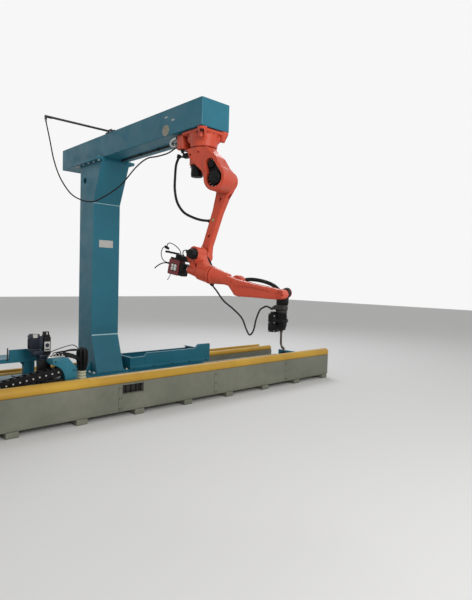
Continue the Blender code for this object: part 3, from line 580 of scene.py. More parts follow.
# Painted shade: a black sheet with ribs set deep in the window's recess stands for the dark hollow behind the
# cable window.
window_shade_panel = bar((-0.2165, -0.9345, 0.2555), (0.0525, -0.9305, 0.3545))
ribs = [bar((x, -0.948, 0.2555), (x + 0.004, -0.932, 0.3545)) for x in (-0.15, -0.084, -0.018)]
hand_in(join([window_shade_panel] + ribs), "window_shade_panel", "track", "black_steel", black_enamel)
window_rim = [bar((left, BEAM_FACE - 0.004, foot), (0.061, BEAM_FACE + 0.001, top), 0.001, 1)
              for left, foot, top in ((-0.223, 0.247, 0.255), (-0.223, 0.355, 0.363), (0.053, 0.247, 0.363))]
hand_in(join(window_rim), "window_rim", "track", "cream_paint", cream_enamel)
for name, node, y, z, radius in (("front_guard_pipe", "front_guard_tube", -0.93, 0.413, 0.06),
                                 ("rear_guard_pipe", "rear_guard_tube", 0.32, 0.335, 0.045)):
    pipe = turned("X", (y, z), -2.4, 3.6, radius, sides=64)
    for end in (-1.0, 1.0):
        sink(pipe, 0.006, 0.03, (end, 0.0, 0.0))
    bpy.ops.object.shade_smooth_by_angle(angle=CREASE)
    joints = [wire_ring((x, y, z), (0.0, QUARTER_TURN, 0.0), radius + 0.0004, 0.0026, 64)
              for x in (-0.62, 1.42)]
    hand_in(join([pipe] + joints), name, "track", "yellow_paint", yellow_enamel, node)
dress("rear_edge_rail", yellow_enamel)
post_beads = [bead([(x + side * 0.06, 0.579, 0.064), (x + side * 0.06, 0.579, 0.305)]) for x in tie_places
              for side in (-1, 1)]
hand_in(join(post_beads), "edge_post_beads", "track", "yellow_paint", yellow_enamel)


# Chain tray and end stops. A folded sheet trough screwed to the ties under the cable chain, and a
# teal stop plate with two rubber buffers at each end of the rails.
DUST_ON_TEAL = (0.11, 0.17, 0.18)
teal_enamel = enamel("teal_enamel", (0.015, 0.168, 0.24), (0.01, 0.128, 0.19), DUST_ON_TEAL, dust=0.2,
                     wear=0.3)
black_plastic = moulding("black_plastic")
dress("chain_tray", cream_enamel)
tray_screws = [Vector((x + side, -0.73, 0.0645)) for x in tie_places for side in (-0.03, 0.03)]
hand_in(set_copies(hex_bolt(0.006), tray_screws, UP), "tray_screws", "track", "machined_steel", zinc)
for name in ("left_end_stop", "right_end_stop"):
    dress(name, teal_enamel)
buffers = []
for face, inward in ((-2.35, 1.0), (3.55, -1.0)):
    for y in (-0.42, -0.08):
        root = Vector((face, y, 0.29))
        run = Vector((inward, 0.0, 0.0))
        buffers += [round_bar(root, root + run * 0.008, 0.034, sides=32, edge=0.002),
                    round_bar(root + run * 0.008, root + run * 0.05, 0.026, 0.03, sides=32, edge=0.006)]
hand_in(join(buffers), "end_buffers", "track", "black_plastic", black_plastic)
stop_bolts = join([set_copies(hex_bolt(0.009), [Vector((face, y, 0.29)) for y in (-0.42, -0.25, -0.08)],
                              facing)
                   for face, facing in ((-2.38, (-1.0, 0.0, 0.0)), (3.58, (1.0, 0.0, 0.0)))])
hand_in(stop_bolts, "end_stop_bolts", "track", "machined_steel", zinc)


# Carriage deck. A thick teal plate on four rail blocks, with the block screws let in from above,
# black end wipers on the blocks and the drive's toothed pinion below it.
def cut_plate(outline, low, high, along="Y", edge=0.0, segments=2):
    """A plate with its thickness, cut to an outline: (x, z) along Y, (y, z) along X or (x, y) along Z."""
    bpy.ops.mesh.primitive_circle_add(vertices=len(outline), fill_type="NGON")
    plate = bpy.context.object
    for vertex, (across, up) in zip(plate.data.vertices, outline):
        vertex.co = {"X": (low, across, up), "Y": (across, low, up), "Z": (across, up, low)}[along]
    bpy.ops.object.mode_set(mode="EDIT")
    bpy.ops.mesh.select_all(action="SELECT")
    shift = [high - low if axis == along else 0.0 for axis in "XYZ"]
    bpy.ops.mesh.extrude_region_move(TRANSFORM_OT_translate={"value": shift})
    bpy.ops.mesh.select_all(action="SELECT")
    bpy.ops.mesh.normals_make_consistent(inside=False)
    bpy.ops.object.mode_set(mode="OBJECT")
    return ease(plate, edge, segments) if edge else plate


DECK_TOP = 0.37
dress("carriage_deck", teal_enamel)
BLOCK_PLACES = (-0.95, 0.95)
deck_screws = [Vector((x + dx, y + dy, DECK_TOP)) for x in BLOCK_PLACES for y in RAIL_LINES
               for dx in (-0.06, 0.06) for dy in (-0.03, 0.03)
               if not (x < 0.0 and y < 0.0 and dy > 0.0)]
deck_screws += [Vector((x, -0.675, DECK_TOP)) for x in (-1.2, -0.6, -0.2, 0.2)]
hand_in(set_copies(socket_screw(0.01), deck_screws, UP), "deck_screws", "carriage", "black_steel",
        black_enamel)
wipers = [bar((x + end * 0.09, y - 0.044, 0.2572), (x + end * 0.096, y + 0.044, 0.298), 0.002)
          for x in BLOCK_PLACES for y in RAIL_LINES for end in (-1, 1)]
hand_in(join(wipers), "block_wipers", "carriage", "black_plastic", black_plastic)
PINION = Vector((-0.914, -0.4535, 0.172))
teeth = []
for number in range(72):
    spread = (0.0375, 0.0375, 0.0455, 0.0455)[number % 4]
    angle = math.tau * number / 72
    teeth.append((PINION.x + spread * math.cos(angle), PINION.y + spread * math.sin(angle)))
pinion = join([cut_plate(teeth, PINION.z, PINION.z + 0.042, along="Z"),
               round_bar(PINION + Vector((0.0, 0.0, 0.042)), PINION + Vector((0.0, 0.0, 0.13)), 0.018,
                         sides=28),
               round_bar(PINION + Vector((0.0, 0.0, 0.042)), PINION + Vector((0.0, 0.0, 0.05)), 0.03,
                         sides=28, edge=0.002)])
hand_in(pinion, "travel_pinion", "carriage", "machined_steel", ground_steel)


# Right platform. A folded teal tray for the welding equipment: its front sheet steps up twice, has
# a turned-in flange along the top, a skirt along the foot, ribs inside and a tread plate floor.
SHEET_FRONT = -0.345
SHEET_FOOT = 0.3705
dress("right_platform", teal_enamel)
top_line = [(0.2655, 0.5315), (0.4838, 0.5315), (0.5258, 0.5735), (1.3248, 0.5735), (1.3868, 0.6265),
            (1.5895, 0.6265)]
under_line = [(x, z - 0.007) for x, z in reversed(top_line)]
flange = cut_plate(top_line + under_line, SHEET_FRONT - 0.0015, SHEET_FRONT + 0.036, edge=0.0015)
skirt = bar((0.269, SHEET_FRONT - 0.006, SHEET_FOOT), (1.586, SHEET_FRONT + 0.001, 0.424), 0.0015)
rib_outline = [(-0.3335, 0.4003), (-0.285, 0.4003), (-0.31, 0.524), (-0.3335, 0.524)]
sheet_ribs = [cut_plate(rib_outline, x, x + 0.008, "X", edge=0.001) for x in (0.56, 0.86, 1.16, 1.44)]
lips = [bar((0.2665, 0.186, 0.4985), (1.5885, 0.2205, 0.5045), 0.0015),
        bar((1.55, -0.34, 0.5285), (1.5905, 0.2185, 0.5345), 0.0015),
        bar((0.2645, -0.34, 0.5285), (0.305, 0.2185, 0.5345), 0.0015)]
hand_in(join([flange, skirt] + lips + sheet_ribs), "platform_flanges", "carriage", "teal_paint", teal_enamel)
inner_foot = 0.4005
sheet_beads = [bead([(0.48, SHEET_FRONT - 0.001, 0.43), (0.48, SHEET_FRONT - 0.001, 0.525)], 0.003),
               bead([(0.278, SHEET_FRONT + 0.012, inner_foot), (1.577, SHEET_FRONT + 0.012, inner_foot)],
                    0.004), bead([(1.578, -0.332, inner_foot), (1.578, 0.207, inner_foot)], 0.004),
               bead([(0.277, -0.332, inner_foot), (0.277, 0.207, inner_foot)], 0.004)]
hand_in(join(sheet_beads), "platform_beads", "carriage", "teal_paint", teal_enamel)
skirt_screws = [Vector((x, SHEET_FRONT - 0.006, 0.397)) for x in (0.32, 0.62, 0.92, 1.22, 1.52)]
hand_in(set_copies(hex_bolt(0.007), skirt_screws, FRONT), "skirt_bolts", "carriage", "black_steel",
        black_enamel)
TREAD_LONG = 0.03
TREAD_WIDE = 0.0055
tread_spots = [(column, row, Vector((0.305 + column * 0.054, -0.318 + row * 0.053, 0.4002)))
               for column in range(23) for row in range(10)]
rows = []
for odd, size in ((0, (TREAD_LONG, TREAD_WIDE)), (1, (TREAD_WIDE, TREAD_LONG))):
    tread = bar((0.0, 0.0, 0.0), (*size, 0.0018), 0.0016, 1)
    rows.append(set_copies(tread, [spot for column, row, spot in tread_spots if (column + row) % 2 == odd],
                           UP))
hand_in(join(rows), "platform_treads", "carriage", "teal_paint", teal_enamel)


# Left platform. A teal shelf for the wire drum on four square legs, with foot plates screwed to the
# deck, small corner webs under the shelf, and a hemmed lip with a stop pin in front.
dress("left_platform", teal_enamel)
leg_corners = [(-1.03, -0.28), (-0.81, -0.28), (-1.24, 0.14), (-0.81, 0.14)]
leg_feet = [bar((x - 0.008, y - 0.016, DECK_TOP + 0.0003), (x + 0.082, y + 0.076, DECK_TOP + 0.009), 0.002)
            for x, y in leg_corners]
leg_webs = []
for x, y in leg_corners:
    for start, out in ((x + 0.0595, 0.045), (x + 0.0005, -0.045)):
        leg_webs.append(cut_plate([(start, 0.6005), (start + out, 0.6005), (start, 0.55)], y + 0.026,
                                  y + 0.034, edge=0.001))
lip_hems = [bar((-1.1965, -0.3015, 0.736), (-0.7495, -0.284, 0.741), 0.0015),
            bar((-1.3398, -0.3015, 0.641), (-1.1965, -0.284, 0.646), 0.0015),
            bar((-1.1965, -0.3015, 0.643), (-1.1915, -0.284, 0.74), 0.0015)]
hand_in(join(leg_feet + leg_webs + lip_hems), "drum_shelf_fittings", "carriage", "teal_paint", teal_enamel)
foot_screws = [Vector((x + 0.071, y + 0.03, DECK_TOP + 0.009)) for x, y in leg_corners]
handle = [turned("Z", (-1.215, -0.308), 0.64, 0.765, 0.0065, sides=20, edge=0.001),
          bar((-1.223, -0.316, 0.63), (-1.207, -0.299, 0.648), 0.003)]
hand_in(join(handle), "shelf_stop_pin", "carriage", "black_steel", black_enamel)
hand_in(set_copies(hex_bolt(0.007), foot_screws, UP), "shelf_foot_bolts", "carriage", "machined_steel", zinc)


# Travel drive. A navy gearbox bolted to the deck by its flange, with a head that carries a finned
# servo motor, a white encoder cap and a side box with three upright silver connectors.
def arc(centre, radius, first, last, steps):
    """Points on an arc, with the angles in degrees."""
    points = []
    for step in range(steps + 1):
        angle = math.radians(first + (last - first) * step / steps)
        points.append((centre[0] + radius * math.cos(angle), centre[1] + radius * math.sin(angle)))
    return points


navy_enamel = enamel("navy_enamel", (0.01, 0.018, 0.034), (0.007, 0.013, 0.026), (0.12, 0.12, 0.12),
                     dust=0.15, shine=0.38)
pale_plastic = moulding("pale_plastic", (0.56, 0.555, 0.52), 0.42)
DRIVE = Vector((-0.914, -0.5, 0.0))


def on_drive(x, y, z):
    return DRIVE + Vector((x, y, z))


gear_case = [bar(on_drive(-0.09, -0.085, 0.3703), on_drive(0.09, 0.085, 0.39), 0.004),
             bar(on_drive(-0.05, -0.05, 0.38), on_drive(0.05, 0.05, 0.68), 0.014, 3),
             bar(on_drive(-0.055, -0.055, 0.66), on_drive(0.055, 0.055, 0.7), 0.006),
             bar(on_drive(-0.12, -0.048, 0.69), on_drive(-0.01, 0.048, 0.749), 0.01, 3),
             round_bar(on_drive(-0.1225, 0.0, 0.72), on_drive(-0.115, 0.0, 0.72), 0.03, sides=40, edge=0.002),
             round_bar(on_drive(0.0, -0.055, 0.56), on_drive(0.0, -0.048, 0.56), 0.038, sides=40, edge=0.003)]
for z in (0.42, 0.45, 0.48, 0.51, 0.615, 0.64):
    gear_case.append(bar(on_drive(-0.0545, -0.0545, z - 0.0035), on_drive(0.0545, 0.0545, z + 0.0035),
                         0.0015))
hand_in(join(gear_case), "drive_gear_case", "carriage", "navy_paint", navy_enamel, "drive_gearbox")
case_screws = [on_drive(x, y, 0.39) for x in (-0.075, 0.075) for y in (-0.07, 0.0, 0.07)]
side_screws = [on_drive(x, -0.055, 0.56 + z) for x, z in arc((0.0, 0.0), 0.031, 0, 300, 5)]
drive_bolts = join([set_copies(socket_screw(0.007), case_screws, UP),
                    set_copies(socket_screw(0.004), side_screws, FRONT)])
hand_in(drive_bolts, "drive_bolts", "carriage", "black_steel", black_enamel)
MOTOR = DRIVE + Vector((-0.1, 0.0, 0.0))


def on_motor(x, y, z):
    return MOTOR + Vector((x, y, z))


motor_shell = [bar(on_motor(-0.052, -0.052, 0.7503), on_motor(0.052, 0.052, 0.766), 0.004),
               bar(on_motor(-0.044, -0.044, 0.76), on_motor(0.044, 0.044, 0.89), 0.008, 3),
               bar(on_motor(-0.05, -0.05, 0.874), on_motor(0.05, 0.05, 0.91), 0.01, 3),
               bar(on_motor(-0.042, -0.042, 0.9), on_motor(0.042, 0.042, 0.925), 0.01, 3)]
for number in range(8):
    shift = -0.0385 + number * 0.011
    for side in (-1, 1):
        near, far = sorted((side * 0.042, side * 0.05))
        motor_shell += [bar(on_motor(shift - 0.0018, near, 0.77), on_motor(shift + 0.0018, far, 0.87), 0.001,
                            1),
                        bar(on_motor(near, shift - 0.0018, 0.77), on_motor(far, shift + 0.0018, 0.87), 0.001,
                            1)]
hand_in(join(motor_shell), "drive_motor_shell", "carriage", "navy_paint", navy_enamel, "drive_motor")
motor_box = bar(on_motor(0.0525, -0.034, 0.77), on_motor(0.0895, 0.026, 0.9), 0.006, 3)
hand_in(motor_box, "motor_box", "carriage", "navy_paint", navy_enamel)
encoder_cap = join([bar(on_motor(-0.026, -0.0515, 0.884), on_motor(0.024, -0.03, 0.922), 0.005, 3),
                    bar(on_motor(-0.022, -0.036, 0.915), on_motor(0.02, 0.01, 0.9348), 0.006, 3)])
hand_in(encoder_cap, "encoder_cap", "carriage", "pale_plastic", pale_plastic)
connectors = []
for x, y in ((0.063, -0.018), (0.08, -0.004), (0.064, 0.012)):
    connectors += [round_bar(on_motor(x, y, 0.896), on_motor(x, y, 0.914), 0.0095, sides=24, edge=0.001),
                   round_bar(on_motor(x, y, 0.912), on_motor(x, y, 0.926), 0.008, sides=12, edge=0.002)]
hand_in(join(connectors), "motor_connectors", "carriage", "machined_steel", zinc)


# Grease pump. A black column on the gearbox with a pale plate that has two dark panes towards the
# front, and a square cap that has one white stripe.
pump_body = [bar((-0.9195, -0.5385, 0.7003), (-0.8425, -0.4615, 0.72), 0.003),
             bar((-0.9198, -0.5388, 0.712), (-0.8422, -0.4612, 0.89), 0.008, 3),
             bar((-0.914, -0.533, 0.88), (-0.848, -0.467, 0.915), 0.012, 3),
             bar((-0.911, -0.527, 0.905), (-0.858, -0.473, 0.9446), 0.005, 3)]
hand_in(join(pump_body), "pump_body", "carriage", "navy_paint", black_plastic, "grease_pump")
pump_plate = bar((-0.915, -0.5402, 0.735), (-0.852, -0.538, 0.838), 0.0008, 1)
plate_window = join([turned("Y", (-0.8835, 0.798), -0.5406, -0.5395, 0.022, sides=32),
                     bar((-0.908, -0.5406, 0.745), (-0.859, -0.5395, 0.758), 0.0004, 1)])
cap_stripe = bar((-0.889, -0.5284, 0.908), (-0.876, -0.5262, 0.94), 0.0008, 1)
hand_in(join([pump_plate, cap_stripe]), "pump_plate", "carriage", "pale_plastic", pale_plastic)
hand_in(plate_window, "pump_window", "carriage", "navy_paint", navy_enamel)


# Chain arch. A thick flame-cut plate, bolted to the deck by its rear leg, that holds the cable
# chain's head; the grease manifold sits on its tongue and sends thin lines over to the hose loom.
arch_outline = [(-0.955, 0.695), (-0.79, 0.695), (-0.704, 0.595), (-0.704, 0.3355), (-0.825, 0.3355)]
arch_outline += arc((-0.985, 0.475), 0.16, 0, 75, 14) + [(-0.955, 0.633)]
ARCH_FACE = -0.8598
arch = cut_plate(arch_outline, ARCH_FACE, -0.7452, edge=0.004)
tongue = bar((-0.9548, -0.75, 0.6405), (-0.7602, -0.6905, 0.6798), 0.003)
arch_leg = bar((-0.7998, -0.75, 0.3704), (-0.7602, -0.6902, 0.66), 0.003)
hand_in(join([arch, tongue, arch_leg]), "chain_arch", "carriage", "teal_paint", teal_enamel, "chain_bracket")
arch_screws = [Vector((x, ARCH_FACE, z))
               for x, z in ((-0.93, 0.665), (-0.73, 0.56), (-0.73, 0.37), (-0.8, 0.36))]
hand_in(set_copies(hex_bolt(0.007), arch_screws, FRONT), "arch_screws", "carriage", "black_steel",
        black_enamel)
manifold_case = join([bar((-1.036, -0.689, 0.52), (-0.905, -0.6255, 0.662), 0.006, 3),
                      bar((-0.99, -0.848, 0.352), (-0.826, -0.7575, 0.486), 0.008, 3),
                      bar((-0.985, -0.745, 0.372), (-0.905, -0.65, 0.54), 0.008, 3)])
hand_in(manifold_case, "manifold_case", "carriage", "black_plastic", black_plastic)
fitting_places = (-0.935, -0.9, -0.865, -0.83, -0.795)
FITTING_Y = -0.72
fittings = [bar((-0.953, FITTING_Y - 0.016, 0.6795), (-0.775, FITTING_Y + 0.016, 0.7), 0.003)]
for x in fitting_places:
    fittings += [turned("Z", (x, FITTING_Y), 0.699, 0.711, 0.0085, sides=6, edge=0.001),
                 turned("Z", (x, FITTING_Y), 0.71, 0.722, 0.0055, sides=14)]
hand_in(join(fittings), "grease_fittings", "carriage", "machined_steel", zinc)
grease_lines = []
for number, (x, crest, aside) in enumerate(zip(fitting_places, (0.792, 0.738, 0.75, 0.728, 0.734),
                                               (0.0, 0.02, -0.02, 0.03, 0.01))):
    line_points = [(x, FITTING_Y, 0.718), (x + 0.004, FITTING_Y, 0.732),
                   (x + 0.045, -0.7 + aside, 0.4 * crest + 0.44), (-0.69, -0.64 + aside, crest),
                   (-0.59, -0.56 + aside, crest - 0.012), (-0.52, -0.5, 0.5 * crest + 0.34),
                   (-0.485, -0.47, 0.66)]
    grease_lines.append(jacket("grease_line", smooth_route(line_points, 0.008), 0.0046))
arch_hoses = []
for lift, radius in ((0.0, 0.013), (0.016, 0.011), (-0.014, 0.011)):
    hose_points = [(-0.93, -0.665 + lift, 0.672), (-0.86, -0.668 + lift, 0.692 + lift * 0.4),
                   (-0.74, -0.66 + lift, 0.696 + lift), (-0.64, -0.61 + lift, 0.672 + lift),
                   (-0.545, -0.53, 0.632 + lift), (-0.48, -0.48, 0.59 + lift)]
    arch_hoses.append(jacket("arch_hose", smooth_route(hose_points, 0.008), radius, ribbed=True, sides=8))
hand_in(join(arch_hoses), "arch_hoses", "carriage", "black_hose", hose_jacket)
hand_in(join(grease_lines), "grease_lines", "carriage", "black_hose", hose_jacket)


# Cable chain. Black moulded links with two side plates, cross bars and bright pins, whose upper run
# falls from the arch to the bend and comes back in the tray; cables lie loose inside.
LINK_PITCH = 0.0668
LINK_HALF = 0.052
CHAIN_MIDDLE = -0.8025
chain_centre = [(-0.893, 0.5525), (-1.1, 0.521), (-1.3, 0.49), (-1.55, 0.451), (-1.8, 0.412)]
chain_centre += [(x, z) for x, z in arc((-1.85, 0.3518), 0.057, 90, 270, 6)] + [(-1.76, 0.2948)]
chain_route = smooth_route([(x, CHAIN_MIDDLE, z) for x, z in chain_centre], LINK_PITCH)
links = []
for number, (here, ahead) in enumerate(zip(chain_route, chain_route[1:])):
    run = ahead - here
    turn = Matrix.Translation((here + ahead) / 2) @ Matrix.Rotation(math.atan2(-run.z, run.x), 4, "Y")
    inset = 0.006 if number % 2 else 0.0
    reach = run.length / 2
    outline = arc((reach - 0.012, 0.0), LINK_HALF, 62, -62, 6) + arc((0.012 - reach, 0.0), LINK_HALF, 242,
                                                                     118, 6)
    parts = [cut_plate(outline, near, far, edge=0.0015, segments=1)
             for near, far in ((-0.047 + inset, -0.0412 + inset), (0.0412 - inset, 0.047 - inset))]
    parts += [bar((-0.014, -0.04, level), (0.014, 0.04, level + 0.007), 0.002, 1)
              for level in (0.003 - LINK_HALF, LINK_HALF - 0.01)]
    link = join(parts)
    link.data.transform(turn)
    links.append(link)
hand_in(join(links), "chain_links", "carriage", "black_plastic", black_plastic, "cable_chain")
pin_places = [Vector((spot.x, -0.8492, spot.z)) for spot in chain_route]
chain_pin = turned("Z", (0.0, 0.0), 0.0, 0.0035, 0.0092, 0.008, sides=20, edge=0.0008)
hand_in(set_copies(chain_pin, pin_places, FRONT), "chain_pins", "carriage", "pale_plastic", pale_plastic)
chain_cables = []
for across, lift, radius in ((-0.026, -0.012, 0.011), (0.0, -0.006, 0.014), (0.026, -0.012, 0.01)):
    cable_points = [(x, CHAIN_MIDDLE + across, z + lift) for x, z in chain_centre]
    chain_cables.append(jacket("chain_cable", smooth_route(cable_points, 0.03), radius, sides=8))
hand_in(join(chain_cables), "chain_cables", "carriage", "black_hose", hose_jacket)


# Hose loom. Eleven ribbed hoses packed side by side that rise through a pale three-ring collar in
# the deck and curl back into the column's cable way.
cream_plastic = moulding("cream_plastic", (0.7, 0.66, 0.46), 0.45)
LOOM = Vector((-0.437, -0.45, 0.0))
loom_hoses = []
for number in range(11):
    outer = number < 8
    angle = math.tau * number / 8 if outer else math.tau * (number - 8) / 3 + 0.4
    out = Vector((math.cos(angle), math.sin(angle), 0.0)) * (1.0 if outer else 0.36)
    rise = 0.006 * (number % 3)
    turns = ((0.02, 0.44), (0.038, 0.5), (0.052, 0.58), (0.055, 0.655 + rise), (0.046, 0.694 + rise),
             (0.024, 0.706 + rise), (0.004, 0.68))
    loom_points = [LOOM + out * spread + Vector((0.0, 0.0, level)) for spread, level in turns]
    loom_hoses.append(jacket("loom_hose", smooth_route(loom_points, RIB_PITCH * 1.6), 0.0165, ribbed=True,
                             sides=10))
hand_in(join(loom_hoses), "loom_hoses", "carriage", "black_hose", hose_jacket, "hose_loom")
collar_rings = [round_bar(LOOM + Vector((0.0, 0.0, 0.3705)), LOOM + Vector((0.0, 0.0, 0.468)), 0.037,
                          sides=36)]
for level in (0.371, 0.405, 0.439):
    ring_foot = LOOM + Vector((0.0, 0.0, level))
    collar_rings.append(round_bar(ring_foot, ring_foot + Vector((0.0, 0.0, 0.028)), 0.048, sides=40,
                                  edge=0.01))
hand_in(join(collar_rings), "loom_collar", "carriage", "pale_plastic", cream_plastic)


# Column. A welded box post with a spread foot and a knee under the beam, on a bolted foot plate,
# with its weld lines still showing, the two across the front in a pale teal that is a painted
# highlight, a bare label plate and a cable hole high on the side.
# A pale copy of the teal enamel: a painted highlight for the bright line along the two beads across the
# front.
bead_highlight_paint = enamel("bead_highlight_paint", (0.56, 0.79, 0.83), (0.45, 0.69, 0.73), DUST, dust=0.2, wear=0.4)
dress("column", teal_enamel)
dress("column_flange", teal_enamel)
POST = 0.1843
FOOT_TOP = 0.3885
column_beads = [bead([(-POST, -0.339, FOOT_TOP), (POST, -0.339, FOOT_TOP)], 0.006),
                bead([(-POST, 0.1745, FOOT_TOP), (POST, 0.1745, FOOT_TOP)], 0.006),
                bead([(-POST, -0.386, 2.934), (POST, -0.386, 2.934)], 0.005)]
for side in (-1, 1):
    column_beads += [bead([(side * POST, -0.335, FOOT_TOP), (side * POST, 0.172, FOOT_TOP)], 0.006),
                     bead([(side * POST, -0.38, 2.934), (side * POST, 0.172, 2.934)], 0.005)]
hand_in(join(column_beads), "column_beads", "carriage", "teal_paint", teal_enamel)
front_beads = [bead([(-POST + 0.006, -0.1745, 0.829), (POST - 0.006, -0.1745, 0.829)], 0.009),
               bead([(-POST + 0.006, -0.1745, 2.45), (POST - 0.006, -0.1745, 2.45)], 0.004)]
hand_in(join(front_beads), "column_front_beads", "carriage", "teal_paint", bead_highlight_paint)
gussets = []
for side in (-1, 1):
    web = [(side * POST, FOOT_TOP), (side * 0.25, FOOT_TOP), (side * 0.25, 0.405), (side * POST, 0.51)]
    gussets += [cut_plate(web, y, y + 0.012, edge=0.0015) for y in (-0.18, 0.12)]
hole_ring = wire_ring((-POST, 0.045, 2.74), (0.0, QUARTER_TURN, 0.0), 0.037, 0.004, 40, 10)
hand_in(join([hole_ring] + gussets), "column_gussets", "carriage", "teal_paint", teal_enamel)
foot_bolts = [Vector((x, y, FOOT_TOP - 0.0005)) for x in (-0.225, 0.225)
              for y in (-0.33, -0.23, -0.05, 0.06, 0.185)]
hand_in(set_copies(hex_bolt(0.014), foot_bolts, UP), "foot_bolts", "carriage", "machined_steel", zinc)
PLATE_FACE = -0.1762
label_plate = bar((-0.098, PLATE_FACE, 1.915), (0.092, -0.1738, 2.005), 0.0008, 1)
hand_in(label_plate, "column_plate", "carriage", "pale_plastic", pale_plastic)
plate_rivets = [Vector((x, PLATE_FACE, z)) for x in (-0.09, 0.084) for z in (1.923, 1.997)]
hand_in(set_copies(socket_screw(0.003), plate_rivets, FRONT), "plate_rivets", "carriage", "machined_steel",
        zinc)
flange_spots = [(x, y) for x in (-0.212, 0.212) for y in (-0.35, -0.23, -0.1, 0.03, 0.15, 0.205)]
flange_bolts = join([set_copies(hex_bolt(0.012), [Vector((x, y, 2.9667)) for x, y in flange_spots], UP),
                     set_copies(hex_bolt(0.012), [Vector((x, y, 2.935)) for x, y in flange_spots], DOWN)])
hand_in(flange_bolts, "flange_bolts", "carriage", "machined_steel", zinc)


# Beam. A welded box girder that reaches out over the track, with corner weld lines, a round pale
# access cover and two small pale marks near the robot, and a clipped conduit along its underside.
beige_plastic = moulding("beige_plastic", (0.34, 0.315, 0.25), 0.5)
dress("beam", teal_enamel)
SIDE = 0.17
BEAM_ENDS = (-2.2012, 0.7312)
beam_beads = []
for side in (-1, 1):
    for level in (2.9715, 3.2225):
        beam_beads.append(bead([(side * (SIDE - 0.0005), BEAM_ENDS[0] + 0.006, level),
                                (side * (SIDE - 0.0005), BEAM_ENDS[1] - 0.006, level)], 0.0032, 0.008))
    for end in BEAM_ENDS:
        beam_beads.append(bead([(side * (SIDE - 0.006), end, 2.973), (side * (SIDE - 0.006), end, 3.221)],
                               0.0032, 0.008))
hand_in(join(beam_beads), "beam_beads", "carriage", "teal_paint", teal_enamel)
ACCESS = (-1.64, 3.024)
access_cover = join([turned("X", ACCESS, -0.1695, -0.174, 0.055, sides=48, edge=0.001),
                     turned("X", ACCESS, -0.1735, -0.1755, 0.044, 0.042, sides=48)])
hand_in(access_cover, "beam_access_cover", "carriage", "pale_plastic", beige_plastic)
cover_screws = [Vector((-0.174, y, z)) for y, z in arc(ACCESS, 0.049, 0, 270, 3)]
hand_in(set_copies(socket_screw(0.004), cover_screws, (-1.0, 0.0, 0.0)), "access_cover_screws", "carriage",
        "machined_steel", zinc)
marks = join([bar((-0.1708, -1.662, 3.146), (-0.1698, -1.618, 3.16), 0.0003, 1),
              bar((-0.1708, -1.78, 3.098), (-0.1698, -1.738, 3.114), 0.0003, 1)])
hand_in(marks, "beam_marks", "carriage", "pale_plastic", pale_plastic)
under_pipe = [turned("Y", (0.05, 2.955), -0.42, -1.8, 0.01, sides=20)]
for y in (-0.5, -0.85, -1.2, -1.55, -1.78):
    under_pipe.append(bar((0.034, y - 0.01, 2.943), (0.066, y + 0.01, 2.967), 0.004))
hand_in(join(under_pipe), "beam_conduit_clips", "carriage", "black_steel", black_enamel)


# Boom. A thin black bar in a saddle clamp on top of the beam, with a ring at its tip that the
# welding wire conduit hangs from.
BOOM_TIP = Vector((-0.86, -0.35, 3.285))
BOOM_ROOT = Vector((-0.1, -0.45, 3.262))
BOOM_DROP = Vector((0.0, 0.0, -0.002))
boom_back = BOOM_ROOT + (BOOM_ROOT - BOOM_TIP).normalized() * 0.05
boom_bar = round_bar(boom_back, BOOM_TIP, 0.012, sides=28, edge=0.002)
sleeve_end = BOOM_TIP.lerp(BOOM_ROOT, 0.1)
tip_sleeve = round_bar(BOOM_TIP + BOOM_DROP, sleeve_end + BOOM_DROP, 0.014, sides=28, edge=0.002)
tip_eye = bar(BOOM_TIP + Vector((0.001, -0.01, -0.04)), BOOM_TIP + Vector((0.023, 0.01, -0.002)), 0.003)
clamp_foot = bar((-0.1595, -0.4995, 3.2273), (-0.0405, -0.4005, 3.247), 0.004)
clamp_saddle = bar((-0.1395, -0.4745, 3.24), (-0.0605, -0.4255, 3.286), 0.012, 3)
clamp_strap = [bar((x - 0.006, -0.4765, 3.26), (x + 0.006, -0.4235, 3.29), 0.004) for x in (-0.12, -0.08)]
hand_in(join([boom_bar, tip_sleeve, tip_eye, clamp_foot, clamp_saddle] + clamp_strap), "boom_bar", "carriage",
        "black_steel", black_enamel, "boom_rod")
clamp_bolts = [Vector((x, y, 3.247)) for x in (-0.15, -0.05) for y in (-0.488, -0.412)]
hand_in(set_copies(hex_bolt(0.006), clamp_bolts, UP), "boom_clamp_bolts", "carriage", "machined_steel", zinc)
conduit_ring = wire_ring((-0.848, -0.352, 3.236), (QUARTER_TURN, 0.0, 0.0), 0.012, 0.0025, 28)
hand_in(conduit_ring, "conduit_ring", "carriage", "machined_steel", zinc)


# Robot base. One iron casting in orange-red enamel: a square foot with three ears, drawn in to the
# turning collar, hung upside down from the beam with a socket screw through each ear.
def melt(shapes, grain=0.004, passes=8):
    """Melt rough shapes into one casting with soft inner corners."""
    casting = join(shapes)
    remesh = casting.modifiers.new("melt", "REMESH")
    remesh.mode = "VOXEL"
    remesh.voxel_size = grain
    bpy.ops.object.modifier_apply(modifier="melt")
    soften = casting.modifiers.new("soften", "SMOOTH")
    soften.factor = 0.5
    soften.iterations = passes
    bpy.ops.object.modifier_apply(modifier="soften")
    bpy.ops.object.shade_smooth()
    return casting


def trim_level(piece, height):
    """Press whatever stands above a machined face down onto it."""
    for vertex in piece.data.vertices:
        vertex.co.z = min(vertex.co.z, height)
    piece.data.update()


def drill(piece, cutters):
    """Cut holes and pockets, then throw the cutters away."""
    for cutter in cutters:
        only(piece)
        hole = piece.modifiers.new("hole", "BOOLEAN")
        hole.operation = "DIFFERENCE"
        hole.object = cutter
        hole.solver = "EXACT"
        bpy.ops.object.modifier_apply(modifier="hole")
        bpy.data.objects.remove(cutter, do_unlink=True)
    only(piece)
    bpy.ops.object.shade_smooth_by_angle(angle=CREASE)
    return piece


